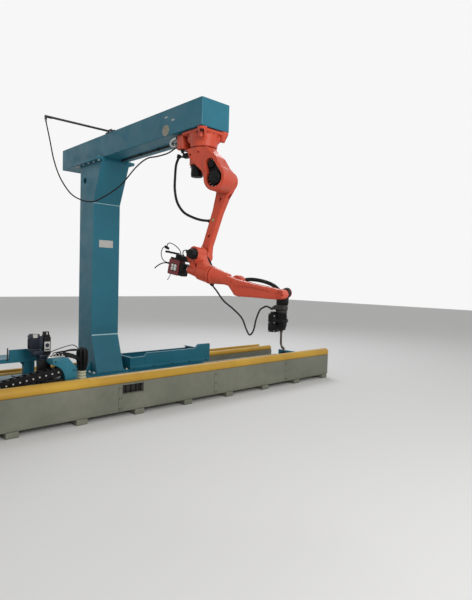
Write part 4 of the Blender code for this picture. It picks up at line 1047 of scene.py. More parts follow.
def place(piece, home):
    """Move a piece's mesh from a robot frame to its place in the world."""
    piece.data.transform(home)
    piece.data.update()
    return piece


orange_enamel = enamel("orange_enamel", (0.64, 0.082, 0.036), (0.54, 0.06, 0.028), (0.58, 0.33, 0.26),
                       dust=0.2, wear=0.15, shine=0.36)
SEAT_FRAME = Matrix.Translation(joint_at["axis_1"])
BASE_GAP = 0.0005
base_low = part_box("robot_base")[0].z - joint_at["axis_1"].z
foot = bar((-0.155, -0.155, -0.038), (0.155, 0.155, -BASE_GAP), 0.016)
bell = turned("Z", (0.0, 0.0), base_low + 0.004, -0.02, 0.128, 0.148, sides=48)
waist = bar((-0.126, -0.126, -0.12), (0.126, 0.126, -0.015), 0.045, 4)
EAR = 0.134
EAR_CORNERS = ((-EAR, -EAR), (EAR, -EAR), (EAR, EAR))
ears = [round_bar((x * 0.94, y * 0.94, -0.092), (x, y, -BASE_GAP), 0.03, 0.048, sides=28)
        for x, y in EAR_CORNERS]
base_casting = melt([foot, bell, waist] + ears, passes=10)
trim_level(base_casting, -BASE_GAP)
EAR_SEAT = -0.03
ear_holes = [turned("Z", (x * 1.1, y * 1.1), -0.1, EAR_SEAT, 0.023, sides=24)
             for x, y in EAR_CORNERS]
drill(base_casting, ear_holes)
hand_in(place(base_casting, SEAT_FRAME), "base_casting", "carriage", "orange_paint", orange_enamel,
        "robot_base")
ear_screw_places = [SEAT_FRAME @ Vector((x * 1.08, y * 1.08, EAR_SEAT)) for x, y in EAR_CORNERS]
side_screw_places = [SEAT_FRAME @ Vector((x, y, -0.038))
                     for x, y in ((-0.1, -0.146), (0.0, -0.146), (0.1, -0.146), (-0.146, -0.07),
                                  (-0.146, 0.07), (0.146, -0.07), (0.146, 0.07))]
base_screws = join([set_copies(socket_screw(0.014), ear_screw_places, DOWN),
                    set_copies(socket_screw(0.006), side_screw_places, DOWN)])
hand_in(base_screws, "base_screws", "carriage", "black_steel", black_enamel)


# Connector box. An orange cast box behind the base with a screwed lid, two round plugs whose silver
# flexible conduits loop back into it, a gland for the wire conduit and one for the thick hose.
box_low, box_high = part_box("connector_box")
box_middle = (box_low + box_high) / 2
shell = bar(box_low + Vector((0.0, 0.0, 0.002)), box_high - Vector((0.006, 0.018, 0.002)), 0.012, 3)
lid = bar((box_low.x, box_high.y - 0.022, box_low.z), (box_high.x, box_high.y - 0.002, box_high.z), 0.006, 3)
connector_housing = join([shell, lid])
hand_in(connector_housing, "connector_housing", "carriage", "orange_paint", orange_enamel, "connector_box")
lid_corners = [Vector((x, box_high.y - 0.002, z)) for x in (box_low.x + 0.014, box_high.x - 0.014)
               for z in (box_low.z + 0.014, box_high.z - 0.014)]
back = box_high.y - 0.004
plug_spots = [(-0.121, 2.932), (-0.078, 2.932), (-0.08, 2.868), (-0.036, 2.868)]
plugs = [turned("Y", (x, z), back, back + 0.022, 0.02, sides=20, edge=0.002) for x, z in plug_spots]
plugs += [turned("Y", (-0.115, 2.845), back, -1.742, 0.013, 0.01, sides=6, edge=0.001)]
gland_foot = Vector((box_low.x + 0.03, box_middle.y - 0.01, box_low.z + 0.006))
plugs += [round_bar(gland_foot, gland_foot - Vector((0.0, 0.0, 0.024)), 0.02, sides=6, edge=0.002),
          round_bar(gland_foot - Vector((0.0, 0.0, 0.02)), gland_foot - Vector((0.0, 0.0, 0.04)), 0.017,
                    0.013, sides=20)]
connector_plugs = join(plugs + [set_copies(socket_screw(0.005), lid_corners, (0.0, 1.0, 0.0))])
hand_in(connector_plugs, "connector_plugs", "carriage", "black_plastic", black_plastic)
conduit_loops = []
for start, finish, reach in ((plug_spots[0], plug_spots[2], 0.118), (plug_spots[1], plug_spots[3], 0.104)):
    loop_points = [(start[0], back + 0.018, start[1]), (start[0] - 0.004, back + 0.06, start[1] + 0.004),
                   (start[0] - 0.006, back + reach, start[1] - 0.02),
                   (start[0] + 0.002, back + reach, start[1] - 0.056),
                   (finish[0] - 0.008, back + 0.06, finish[1] - 0.01), (finish[0], back + 0.018, finish[1])]
    conduit_loops.append(jacket("conduit_loop", smooth_route(loop_points, 0.0052), 0.015, ribbed=True,
                                sides=14))
hand_in(join(conduit_loops), "conduit_loops", "carriage", "machined_steel", zinc)


# Shoulder casting. The orange turret below the base: a swept arm around two merged bores, closed
# inside by the black second motor, turning on the first axis with its own motor hung behind it.
grey_cover = enamel("grey_cover", (0.48, 0.5, 0.52), (0.4, 0.415, 0.435), DUST, dust=0.2, wear=0.1)
HUB = (0.21, -0.47)
UPPER_HUB = (0.158, -0.338)
turret_outline = [(-0.118, -0.17), (0.118, -0.17), (0.155, -0.215), (0.222, -0.275), (0.318, -0.425)]
turret_outline += arc(HUB, 0.122, 20, -150, 18) + [(0.062, -0.4), (-0.02, -0.33), (-0.092, -0.262)]
web = cut_plate(turret_outline, -0.118, 0.052, edge=0.03, segments=3)
drum = turned("Y", HUB, -0.128, 0.0625, 0.122, sides=56, edge=0.012)
upper_drum = turned("Y", (0.16, -0.335), -0.124, 0.04, 0.088, 0.08, sides=40)
collar = turned("Z", (0.0, 0.0), -0.25, -0.166, 0.118, 0.127, sides=56)
skirt = round_bar((-0.01, -0.01, -0.3), (0.0, 0.0, -0.18), 0.092, 0.122, sides=40)
motor_sleeve = turned("Z", (-0.06, -0.02), -0.318, -0.25, 0.074, sides=36)
turret_casting = melt([web, drum, upper_drum, collar, skirt, motor_sleeve], passes=12)
EGG = arc(HUB, 0.087, 40, -205, 20) + arc(UPPER_HUB, 0.052, 155, 50, 10)
egg_pocket = cut_plate(EGG, -0.15, -0.082)
sleeve_bore = turned("Z", (-0.06, -0.02), -0.36, -0.302, 0.066, sides=40)
slot_pockets = [turned("Y", (0.02, -0.215), -0.15, -0.108, 0.01, sides=16),
                turned("Y", (-0.075, -0.232), -0.15, -0.1, 0.012, sides=16)]
drill(turret_casting, [egg_pocket, sleeve_bore] + slot_pockets)
hand_in(place(turret_casting, TURRET_FRAME), "turret_casting", "turret", "orange_paint", orange_enamel,
        "shoulder_casting")
cover = cut_plate([(HUB[0] + (x - HUB[0]) * 0.985, HUB[1] + (z - HUB[1]) * 0.985) for x, z in EGG], -0.086,
                  -0.08, edge=0.002)
motor_nose = turned("Y", HUB, -0.122, -0.084, 0.06, 0.066, sides=44, edge=0.006)
nose_step = turned("Y", HUB, -0.13, -0.12, 0.04, sides=36, edge=0.004)
upper_cap = turned("Y", UPPER_HUB, -0.104, -0.084, 0.034, 0.038, sides=32, edge=0.004)
plug_block = bar((HUB[0] - 0.052, -0.126, HUB[1] + 0.03), (HUB[0] - 0.02, -0.1, HUB[1] + 0.058), 0.005)
second_motor = join([cover, motor_nose, nose_step, upper_cap, plug_block])
hand_in(place(second_motor, TURRET_FRAME), "second_motor", "turret", "black_plastic", black_plastic,
        "second_axis_motor")
cap_ring = [(UPPER_HUB[0] + 0.042 * math.cos(angle), UPPER_HUB[1] + 0.042 * math.sin(angle))
            for angle in (0.9, 1.6, 2.3)]
ring_places = [TURRET_FRAME @ Vector((x, -0.088, z)) for x, z in arc(HUB, 0.077, 45, -200, 9) + cap_ring]
near_side = ROBOT_FACING.to_3x3() @ Vector((0.0, -1.0, 0.0))
motor_screws = set_copies(socket_screw(0.0055), ring_places, near_side)
hand_in(motor_screws, "motor_cover_screws", "turret", "machined_steel", zinc)
first_motor = join([turned("Z", (-0.06, -0.02), -0.428, -0.302, 0.058, sides=40, edge=0.008),
                    bar((-0.104, -0.064, -0.4), (-0.016, 0.024, -0.318), 0.014, 3),
                    bar((-0.118, -0.045, -0.41), (-0.085, 0.005, -0.368), 0.006)])
hand_in(place(first_motor, TURRET_FRAME), "first_motor", "turret", "black_plastic", black_plastic,
        "first_axis_motor")
hose_start = Vector(base_hose_points[0])
hose_bracket = join([bar((-0.235, -0.032, -0.226), (-0.104, 0.026, -0.18), 0.008, 3),
                     bar((-0.3, -0.012, -0.213), (-0.225, 0.012, -0.199), 0.003),
                     round_bar(hose_start + Vector((0.004, 0.0, 0.02)),
                               hose_start + Vector((-0.008, 0.0, -0.018)), 0.021, 0.019, sides=28,
                               edge=0.003)])
hand_in(place(hose_bracket, TURRET_FRAME), "hose_bracket", "turret", "black_plastic", black_plastic)
motor_band = bar((-0.112, -0.0655, -0.345), (-0.03, -0.064, -0.328), 0.0005)
hand_in(place(motor_band, TURRET_FRAME), "motor_band", "turret", "pale_plastic", grey_cover)


# Lower arm. A cast link on the far side of the turret, wide at the shoulder and waisted towards
# the elbow, with cored windows, an inspection plug and a socket screw ring at each joint.
arm_drop = joint_at["axis_3"] - joint_at["axis_2"]
arm_side = ROBOT_FACING.to_3x3().inverted() @ arm_drop
ARM_LENGTH = math.hypot(arm_side.x, arm_side.z)
ARM_LEAN = math.atan2(-arm_side.x, -arm_side.z)
ARM_FRAME = SHOULDER_FRAME @ Matrix.Rotation(ARM_LEAN, 4, "Y")
ARM_NEAR = 0.0685
ARM_FAR = 0.1565
arm_outline = arc((0.0, 0.0), 0.102, 165, 15, 12) + [(0.088, -0.07), (0.066, -0.15), (0.051, -0.3),
                                                     (0.048, -ARM_LENGTH + 0.12)]
arm_outline += arc((0.0, -ARM_LENGTH), 0.078, 30, -210, 14)
arm_outline += [(-0.048, -ARM_LENGTH + 0.12), (-0.053, -0.3), (-0.07, -0.15), (-0.09, -0.07)]
blade = cut_plate(arm_outline, ARM_NEAR + 0.006, ARM_FAR - 0.006, edge=0.016, segments=3)
top_boss = turned("Y", (0.0, 0.0), ARM_NEAR, ARM_FAR, 0.096, sides=48, edge=0.008)
low_boss = turned("Y", (0.0, -ARM_LENGTH), ARM_NEAR, ARM_FAR, 0.074, sides=40, edge=0.008)
link_casting = melt([blade, top_boss, low_boss], passes=8)
windows = [cut_plate([(-0.012, -0.172), (0.018, -0.156), (0.006, -0.21)], ARM_NEAR - 0.02, ARM_NEAR + 0.03),
           cut_plate([(-0.014, -0.552), (0.015, -0.526), (0.011, -0.556), (-0.006, -0.572)],
                     ARM_NEAR - 0.02, ARM_NEAR + 0.03),
           cut_plate([(0.055, -0.11), (0.11, -0.09), (0.11, -0.14), (0.05, -0.15)],
                     ARM_NEAR + 0.03, ARM_NEAR + 0.062),
           turned("Y", (0.0, 0.0), ARM_FAR - 0.01, ARM_FAR + 0.02, 0.052, sides=36),
           turned("Y", (0.0, -ARM_LENGTH), ARM_FAR - 0.01, ARM_FAR + 0.02, 0.04, sides=32)]
drill(link_casting, windows)
hand_in(place(link_casting, ARM_FRAME), "link_casting", "lower_arm", "orange_paint", orange_enamel,
        "lower_arm")
out_far = ROBOT_FACING.to_3x3() @ Vector((0.0, 1.0, 0.0))
arm_rings = [ARM_FRAME @ Vector((x, ARM_FAR - 0.001, z)) for x, z in arc((0.0, 0.0), 0.07, 0, 324, 9)]
arm_rings += [ARM_FRAME @ Vector((x, ARM_FAR - 0.001, z))
              for x, z in arc((0.0, -ARM_LENGTH), 0.055, 0, 315, 7)]
arm_screws = set_copies(socket_screw(0.006), arm_rings, out_far)
hand_in(arm_screws, "arm_screws", "lower_arm", "black_steel", black_enamel)
hose_end = Vector(base_hose_points[-1])
hose_fitting = join([round_bar(hose_end - Vector((0.01, 0.005, 0.0)),
                               hose_end + Vector((0.034, 0.004, -0.002)), 0.0175, sides=28, edge=0.002),
                     round_bar(hose_end + Vector((0.01, 0.0, 0.0)), hose_end + Vector((0.024, 0.002, -0.001)),
                               0.02, sides=6, edge=0.002)])
hand_in(place(hose_fitting, TURRET_FRAME), "hose_fitting", "lower_arm", "black_plastic", black_plastic)
olive_plug = bare_metal("olive_zinc", (0.4, 0.34, 0.16), 0.42)
plug = turned("Y", (-0.004, -0.388), ARM_NEAR + 0.002, ARM_NEAR + 0.012, 0.015, sides=28, edge=0.002)
hand_in(place(plug, ARM_FRAME), "arm_plug", "lower_arm", "machined_steel", olive_plug)


# Elbow casting. The orange body round the third axis: a hub for the motor, a throat down to the
# fourth axis barrel, and a tapering tail with its pale end cap. The motor and its lead sit on it.
def lead(name, points, radius, spacing=0.006):
    """A short fixed lead along a route."""
    return jacket(name, smooth_route(points, spacing), radius)


hub = turned("Y", (0.0, 0.0), -0.098, 0.0625, 0.074, sides=44, edge=0.008)
throat_outline = [(-0.06, 0.01), (-0.02, 0.062), (0.045, 0.05), (0.12, -0.04), (0.188, -0.092),
                  (0.188, -0.15), (0.03, -0.16), (-0.05, -0.11)]
throat = cut_plate(throat_outline, -0.056, 0.056, edge=0.022, segments=3)
BARREL = -0.147
barrel = turned("X", (0.0, BARREL), 0.05, 0.2, 0.074, 0.087, sides=48)
lip_ring = turned("X", (0.0, BARREL), 0.172, 0.2005, 0.088, sides=48, edge=0.003)
tail = turned("X", (0.0, BARREL), -0.078, 0.08, 0.042, 0.064, sides=36)
side_lug = turned("Y", (-0.012, -0.085), -0.075, -0.03, 0.024, sides=24)
crown = turned("Y", (0.01, 0.036), -0.098, 0.052, 0.059, sides=40, edge=0.008)
elbow_body = melt([hub, throat, barrel, tail, side_lug, crown], passes=8)
elbow_pockets = [cut_plate([(0.02, -0.075), (0.042, -0.07), (0.044, -0.1), (0.03, -0.108)], -0.08, -0.036),
                 turned("Y", (0.1, -0.03), -0.08, -0.044, 0.009, sides=16)]
drill(elbow_body, elbow_pockets)
elbow_body = join([elbow_body, lip_ring])
hand_in(place(elbow_body, ELBOW_FRAME), "elbow_body", "elbow", "orange_paint", orange_enamel, "elbow_casting")
tail_cap = join([turned("X", (0.0, BARREL), -0.098, -0.072, 0.024, 0.038, sides=32, edge=0.004),
                 turned("X", (0.0, BARREL), -0.1, -0.094, 0.01, sides=6)])
pale_lead = black_rubber("pale_lead_jacket", (0.6, 0.6, 0.58), 0.42)
hand_in(place(tail_cap, ELBOW_FRAME), "tail_end_cap", "elbow", "pale_plastic", pale_lead)
MOTOR_X = 0.018
MOTOR_Z = 0.02
third_motor = join([turned("Y", (MOTOR_X, MOTOR_Z), -0.15, -0.101, 0.047, sides=36, edge=0.003),
                    bar((MOTOR_X - 0.042, -0.14, MOTOR_Z - 0.042), (MOTOR_X + 0.042, -0.106, MOTOR_Z + 0.042),
                        0.012, 3),
                    turned("Y", (MOTOR_X, MOTOR_Z), -0.112, -0.1003, 0.054, sides=36, edge=0.003),
                    turned("Y", (MOTOR_X, MOTOR_Z), -0.165, -0.146, 0.04, 0.046, sides=36, edge=0.005),
                    bar((MOTOR_X - 0.058, -0.156, MOTOR_Z - 0.004),
                        (MOTOR_X - 0.034, -0.124, MOTOR_Z + 0.028), 0.005)])
hand_in(place(third_motor, ELBOW_FRAME), "third_motor", "elbow", "black_plastic", black_plastic,
        "third_axis_motor")
elbow_ring = [ELBOW_FRAME @ Vector((x, -0.0985, z)) for x, z in arc((0.004, 0.008), 0.066, 150, 340, 5)]
elbow_screws = set_copies(socket_screw(0.005), elbow_ring, near_side)
hand_in(elbow_screws, "elbow_screws", "elbow", "black_steel", black_enamel)
motor_lead = lead("motor_lead",
                  [(MOTOR_X - 0.05, -0.14, 0.034), (-0.056, -0.142, 0.04), (-0.082, -0.136, 0.026),
                   (-0.086, -0.126, -0.008), (-0.066, -0.104, -0.034), (-0.044, -0.08, -0.052),
                   (-0.026, -0.066, -0.066)], 0.005)
hand_in(place(motor_lead, ELBOW_FRAME), "motor_lead", "elbow", "black_hose", hose_jacket)
back_hose = lead("back_hose", [(0.045, 0.03, 0.03), (0.075, 0.075, -0.01), (0.125, 0.082, -0.07),
                               (0.165, 0.06, -0.105), (0.185, 0.035, -0.118)], 0.01)
hand_in(place(back_hose, ELBOW_FRAME), "elbow_back_hose", "elbow", "black_hose", hose_jacket)


# Wire feeder. A maroon sheet box with a window on its roller drive, its black motor beside it, hung
# behind the elbow under a folded black shelf that carries the wire guides, plugs and looped leads.
maroon_enamel = enamel("maroon_enamel", (0.21, 0.034, 0.038), (0.165, 0.025, 0.029), DUST, dust=0.2)
case = bar((-0.3045, -0.054, -0.2345), (-0.1715, 0.054, -0.0805), 0.012, 3)
window_cut = bar((-0.272, -0.07, -0.196), (-0.194, -0.042, -0.122), 0.008, 2)
back_cut = bar((-0.31, -0.03, -0.205), (-0.298, 0.03, -0.12), 0.006, 2)
drill(case, [window_cut, back_cut])
door_frame = bar((-0.296, -0.0555, -0.226), (-0.18, -0.0525, -0.09), 0.001, 1)
door_hole = bar((-0.278, -0.07, -0.202), (-0.188, -0.04, -0.116), 0.008, 2)
drill(door_frame, [door_hole])
latch = bar((-0.19, -0.06, -0.172), (-0.181, -0.052, -0.144), 0.002)
feeder_case = join([case, door_frame, latch])
hand_in(place(feeder_case, ELBOW_FRAME), "feeder_case", "elbow", "maroon_paint", maroon_enamel, "wire_feeder")
rollers = []
for x, z in ((-0.254, -0.143), (-0.254, -0.177), (-0.216, -0.143), (-0.216, -0.177)):
    rollers += [turned("Y", (x, z), -0.052, -0.042, 0.0165, sides=28, edge=0.002),
                turned("Y", (x, z), -0.055, -0.05, 0.0055, sides=6)]
rollers.append(bar((-0.27, -0.05, -0.163), (-0.196, -0.043, -0.157), 0.001))
feed_rollers = join(rollers)
hand_in(place(feed_rollers, ELBOW_FRAME), "feed_rollers", "elbow", "machined_steel", zinc)
feeder_drive = join([bar((-0.1695, -0.044, -0.2315), (-0.118, 0.049, -0.1055), 0.01, 3),
                     turned("X", (0.002, -0.168), -0.12, -0.1055, 0.04, 0.036, sides=36, edge=0.003),
                     bar((-0.16, -0.048, -0.2), (-0.128, -0.04, -0.14), 0.003)])
hand_in(place(feeder_drive, ELBOW_FRAME), "feeder_drive", "elbow", "black_plastic", black_plastic,
        "feeder_motor")
shelf = bar((-0.2945, -0.0445, -0.0796), (-0.054, 0.0445, -0.0745), 0.001, 1)
shelf_sides = [bar((-0.2945, y, -0.0796), (-0.056, y + 0.004, -0.0625), 0.001, 1) for y in (-0.0445, 0.0405)]
end_plate = bar((-0.062, -0.04, -0.0796), (-0.0545, 0.04, -0.04), 0.002, 1)
roller_housing = bar((-0.252, -0.03, -0.075), (-0.098, 0.03, -0.03), 0.01, 3)
housing_cap = bar((-0.226, -0.036, -0.052), (-0.19, 0.036, -0.024), 0.006, 2)
guide_bars = [round_bar((-0.386, y, -0.026), (-0.24, y, -0.024), 0.009, sides=20, edge=0.002)
              for y in (-0.018, 0.018)]
guide_heads = [turned("X", (y, -0.026), -0.392, -0.372, 0.0115, sides=20, edge=0.002)
               for y in (-0.018, 0.018)]
plug_body = join([round_bar((-0.42, -0.01, 0.022), (-0.368, -0.01, 0.006), 0.013, sides=20, edge=0.003),
                  round_bar((-0.408, -0.01, 0.018), (-0.392, -0.01, 0.013), 0.0165, sides=8, edge=0.002)])
inlet = round_bar((-0.352, -0.006, -0.134), (-0.303, -0.006, -0.14), 0.009, 0.014, sides=24, edge=0.002)
feeder_mount = join([shelf, end_plate, roller_housing, housing_cap, plug_body, inlet] + shelf_sides
                    + guide_bars + guide_heads)
hand_in(place(feeder_mount, ELBOW_FRAME), "feeder_mount", "elbow", "black_plastic", black_plastic,
        "feeder_bracket")
lead_routes = (([(-0.418, -0.01, 0.021), (-0.444, -0.01, 0.0), (-0.456, -0.01, -0.045),
                 (-0.44, -0.01, -0.092), (-0.405, -0.008, -0.124), (-0.345, -0.006, -0.136)], 0.0045),
               ([(-0.392, -0.012, 0.018), (-0.388, -0.014, 0.05), (-0.358, -0.014, 0.066),
                 (-0.31, -0.01, 0.058), (-0.262, -0.004, 0.036), (-0.222, 0.0, 0.004), (-0.208, 0.0, -0.03)],
                0.0045),
               ([(-0.345, -0.006, -0.138), (-0.39, -0.006, -0.142), (-0.44, -0.008, -0.164),
                 (-0.482, -0.01, -0.196), (-0.505, -0.012, -0.222)], 0.006),
               ([(-0.11, -0.02, -0.04), (-0.085, -0.044, -0.03), (-0.06, -0.062, -0.044),
                 (-0.036, -0.07, -0.062), (-0.02, -0.066, -0.078)], 0.006),
               ([(-0.268, -0.04, -0.232), (-0.272, -0.042, -0.262), (-0.29, -0.044, -0.3)], 0.0035))
feeder_leads = join([lead("feeder_lead", points, radius) for points, radius in lead_routes])
hand_in(place(feeder_leads, ELBOW_FRAME), "feeder_leads", "elbow", "black_hose", hose_jacket)


# Forearm. A hollow orange casting that turns on the fourth axis: a cone behind the seam ring, a
# deep cranked bar in front of it, and a round drive cover on the far side where the hose comes out.
root = turned("X", (0.0, 0.0), 0.119, 0.315, 0.0835, 0.052, sides=48)
root_ring = turned("X", (0.0, 0.0), 0.119, 0.14, 0.0845, sides=48, edge=0.003)
crank_outline = [(0.25, 0.036), (0.32, 0.034), (0.4, 0.024), (0.6, 0.021), (0.8, 0.026)]
crank_outline += arc((0.885, -0.015), 0.043, 90, -90, 12)
crank_outline += [(0.84, -0.07), (0.64, -0.1), (0.47, -0.129), (0.428, -0.127), (0.345, -0.056),
                  (0.25, -0.052)]
crank = cut_plate(crank_outline, -0.056, 0.05, edge=0.018, segments=3)
HUMP = (0.385, -0.012)
WRIST_EYE = (0.885, -0.012)
hump = turned("Y", HUMP, 0.02, 0.094, 0.067, sides=44, edge=0.006)
wrist_eye = turned("Y", WRIST_EYE, -0.0575, 0.051, 0.043, sides=40, edge=0.004)
forearm_body = melt([root, root_ring, crank, hump, wrist_eye], passes=9)
side_recess = cut_plate([(0.445, -0.03), (0.6, -0.01), (0.79, -0.008), (0.79, -0.014), (0.6, -0.02),
                         (0.45, -0.044)], -0.08, -0.052)
top_groove = bar((0.44, -0.018, 0.01), (0.76, 0.022, 0.05), 0.006, 2)
eye_bore = turned("Y", WRIST_EYE, -0.08, -0.05, 0.022, sides=32)
stud_holes = [turned("Y", (x, z), -0.08, -0.051, 0.0055, sides=14)
              for x, z in ((0.42, -0.04), (0.56, -0.026), (0.372, -0.01))]
drill(forearm_body, [side_recess, top_groove, eye_bore] + stud_holes)
hand_in(place(forearm_body, FOREARM_FRAME), "forearm_body", "forearm", "orange_paint", orange_enamel,
        "forearm")
hose_outlet = join([round_bar((0.372, 0.09, -0.004), (0.386, 0.112, 0.0), 0.024, 0.02, sides=28, edge=0.003),
                    bar((0.366, 0.092, -0.022), (0.404, 0.106, 0.016), 0.005)])
hand_in(place(hose_outlet, FOREARM_FRAME), "hose_outlet", "forearm", "black_plastic", black_plastic)
root_clip = join([bar((0.118, -0.016, -0.098), (0.152, 0.016, -0.08), 0.004),
                  round_bar((0.128, 0.0, -0.086), (0.142, 0.0, -0.098), 0.012, sides=20, edge=0.002)])
hand_in(place(root_clip, FOREARM_FRAME), "umbilical_root_clip", "forearm", "black_plastic", black_plastic)
hump_ring = [FOREARM_FRAME @ Vector((x, 0.0935, z)) for x, z in arc(HUMP, 0.056, 30, 345, 8)]
eye_ring = [FOREARM_FRAME @ Vector((x, -0.057, z)) for x, z in arc(WRIST_EYE, 0.032, 0, 300, 5)]
forearm_screws = join([set_copies(socket_screw(0.005), hump_ring, out_far),
                       set_copies(socket_screw(0.004), eye_ring, near_side)])
hand_in(forearm_screws, "forearm_screws", "forearm", "black_steel", black_enamel)


# Wrist. The fifth axis housing beside the forearm's end, black with an orange disc behind it, and
# the cast black shelf under it that carries the tool and a wrinkled black sleeve over the cables.
def rumple(piece, height, size):
    """Wrinkle a soft sleeve with clouds that are fixed in its own space."""
    only(piece)
    clouds = bpy.data.textures.new("sleeve_folds", "CLOUDS")
    clouds.noise_scale = size
    fold = piece.modifiers.new("folds", "DISPLACE")
    fold.texture = clouds
    fold.texture_coords = "LOCAL"
    fold.strength = height
    bpy.ops.object.modifier_apply(modifier="folds")
    bpy.ops.object.shade_smooth()


wrist_hub = turned("Y", (0.0, 0.0), 0.059, 0.082, 0.044, sides=44, edge=0.003)
wrist_disc = turned("Y", (0.0, 0.0), 0.088, 0.105, 0.0495, 0.044, sides=44, edge=0.004)
hanger = bar((-0.093, 0.062, -0.146), (-0.037, 0.098, 0.006), 0.012, 3)
hub_web = bar((-0.07, 0.061, -0.034), (0.0, 0.098, 0.034), 0.012, 3)
tool_shelf = cut_plate([(-0.094, -0.138), (-0.094, -0.149), (-0.036, -0.149), (-0.036, -0.107),
                        (-0.052, -0.107)], -0.044, 0.099, edge=0.006)
shelf_tongue = bar((-0.042, -0.043, -0.149), (0.04, 0.043, -0.112), 0.006)
shelf_boss = turned("Z", (0.0, 0.0), -0.1505, -0.108, 0.044, sides=40)
wrist_body = melt([wrist_hub, hanger, hub_web, tool_shelf, shelf_tongue, shelf_boss], grain=0.003, passes=6)
hand_in(place(wrist_body, WRIST_FRAME), "wrist_body", "wrist", "black_steel", black_enamel, "wrist_housing")
hand_in(place(wrist_disc, WRIST_FRAME), "wrist_disc", "wrist", "orange_paint", orange_enamel)
wrist_ring = turned("Y", (0.0, 0.0), 0.078, 0.092, 0.0465, sides=44, edge=0.003)
hand_in(place(wrist_ring, WRIST_FRAME), "wrist_ring", "wrist", "black_plastic", black_plastic)
end_in_wrist = WRIST_FRAME.inverted() @ FOREARM_FRAME @ Vector(under_points[-1])
umbilical_tail = join([lead("umbilical_tail",
                            [end_in_wrist, end_in_wrist + Vector((0.018, 0.0, 0.008)),
                             end_in_wrist + Vector((0.044, 0.0, 0.004)),
                             end_in_wrist + Vector((0.07, 0.0, -0.008)), (-0.096, 0.0, -0.1435)], 0.008),
                       round_bar((-0.112, 0.0, -0.1415), (-0.09, 0.0, -0.1435), 0.013, sides=6, edge=0.002)])
hand_in(place(umbilical_tail, WRIST_FRAME), "umbilical_tail", "wrist", "black_hose", hose_jacket)
sleeve_points = [(0.004, 0.088, -0.022), (0.0, 0.066, -0.062), (-0.008, 0.036, -0.1), (-0.01, 0.012, -0.14),
                 (0.0, 0.0, -0.19), (0.008, -0.004, -0.25), (0.006, -0.002, -0.325)]
SLEEVE_SWELL = ((0.0, 0.022), (0.22, 0.04), (0.42, 0.054), (0.6, 0.049), (0.85, 0.044), (1.0, 0.035))


def sleeve_radius(share):
    """The sleeve's radius at a share of its length, between its listed sizes."""
    for (before, small), (after, large) in zip(SLEEVE_SWELL, SLEEVE_SWELL[1:]):
        if share <= after:
            return small + (large - small) * (share - before) / (after - before)
    return SLEEVE_SWELL[-1][1]


sleeve = jacket("cable_sleeve", smooth_route(sleeve_points, 0.006), 1.0, ribbed=True, sides=24,
                swell=sleeve_radius)
rumple(sleeve, 0.012, 0.03)
hand_in(place(sleeve, WRIST_FRAME), "cable_sleeve", "wrist", "black_hose", hose_jacket)


# Welding torch. A blackened flange on the sixth axis, the black torch body with its clamp, the seam
# sensor's screwed housing beside it, and the smoked neck with gas nozzle and contact tip.
smoked_copper = bare_metal("smoked_copper", (0.085, 0.066, 0.058), 0.42)
flange_disc = turned("Z", (0.0, 0.0), -0.1745, -0.1555, 0.0445, sides=44, edge=0.002)
hand_in(place(flange_disc, WRIST_FRAME), "tool_flange_disc", "tool", "black_steel", black_enamel,
        "tool_flange")
torch_parts = [turned("Z", (0.0, 0.0), -0.232, -0.1752, 0.033, 0.034, sides=36, edge=0.003),
               turned("Z", (0.0, 0.0), -0.3, -0.228, 0.028, sides=36, edge=0.002),
               turned("Z", (0.0, 0.0), -0.3345, -0.296, 0.018, 0.031, sides=36, edge=0.003),
               bar((-0.048, -0.049, -0.259), (0.044, 0.047, -0.231), 0.005, 2),
               bar((0.03, -0.018, -0.262), (0.052, 0.018, -0.226), 0.004)]
for level in (-0.19, -0.2, -0.21, -0.282, -0.29):
    torch_parts.append(turned("Z", (0.0, 0.0), level - 0.0025, level + 0.0025,
                              0.035 if level > -0.25 else 0.03, sides=36, edge=0.001))
torch_handle = join(torch_parts)
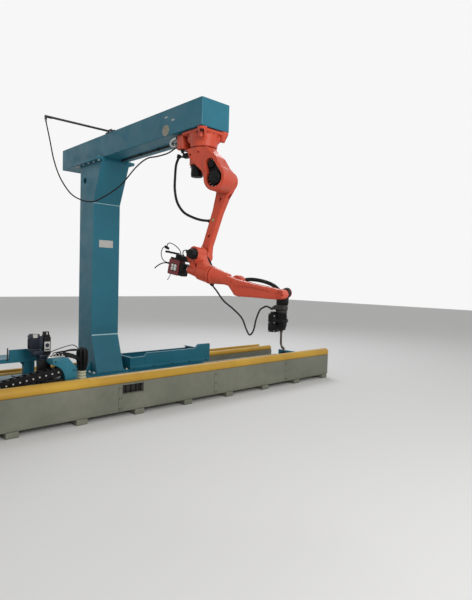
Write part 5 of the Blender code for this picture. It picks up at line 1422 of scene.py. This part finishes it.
hand_in(place(torch_handle, WRIST_FRAME), "torch_handle", "tool", "black_plastic", black_plastic,
        "torch_body")
sensor_case = bar((-0.114, -0.044, -0.349), (-0.036, 0.044, -0.182), 0.008, 3)
sensor_cuts = [bar((-0.12, -0.02, -0.335), (-0.108, 0.02, -0.3), 0.003, 1),
               bar((-0.096, -0.05, -0.3), (-0.056, -0.04, -0.222), 0.004, 1),
               bar((-0.096, 0.04, -0.3), (-0.056, 0.05, -0.222), 0.004, 1)]
drill(sensor_case, sensor_cuts)
sensor_neck = bar((-0.1, -0.026, -0.186), (-0.06, 0.026, -0.168), 0.004)
sensor_housing = join([sensor_case, sensor_neck])
hand_in(place(sensor_housing, WRIST_FRAME), "sensor_housing", "tool", "black_plastic", black_plastic,
        "seam_sensor")
sensor_spots = [(-0.104, -0.192), (-0.048, -0.204), (-0.104, -0.338), (-0.048, -0.338), (-0.104, -0.265),
                (-0.048, -0.262)]
sensor_screws = set_copies(socket_screw(0.0055),
                           [WRIST_FRAME @ Vector((x, -0.0435, z)) for x, z in sensor_spots], near_side)
hand_in(sensor_screws, "sensor_screws", "tool", "machined_steel", zinc)
NECK_RADIUS = 0.0095
neck_route = smooth_route([(0.0, 0.0, -0.334), (0.0, 0.0, -0.4), (0.001, 0.0, -0.445), (0.008, 0.0, -0.47),
                           (0.022, 0.0, -0.489)], 0.006)
neck_tube = jacket("neck_tube", neck_route, NECK_RADIUS, sides=12)
nozzle = round_bar((0.013, 0.0, -0.478), (0.037, 0.0, -0.5005), 0.0125, 0.0105, sides=28, edge=0.001)
collar_nut = turned("Z", (0.0, 0.0), -0.35, -0.336, 0.014, sides=6, edge=0.001)
torch_swan_neck = join([neck_tube, nozzle, collar_nut])
hand_in(place(torch_swan_neck, WRIST_FRAME), "torch_swan_neck", "tool", "copper_neck", smoked_copper,
        "torch_neck")
contact_tip = round_bar((0.0355, 0.0, -0.499), (0.041, 0.0, -0.5045), 0.004, 0.003, sides=16)
hand_in(place(contact_tip, WRIST_FRAME), "contact_tip", "tool", "machined_steel", zinc)
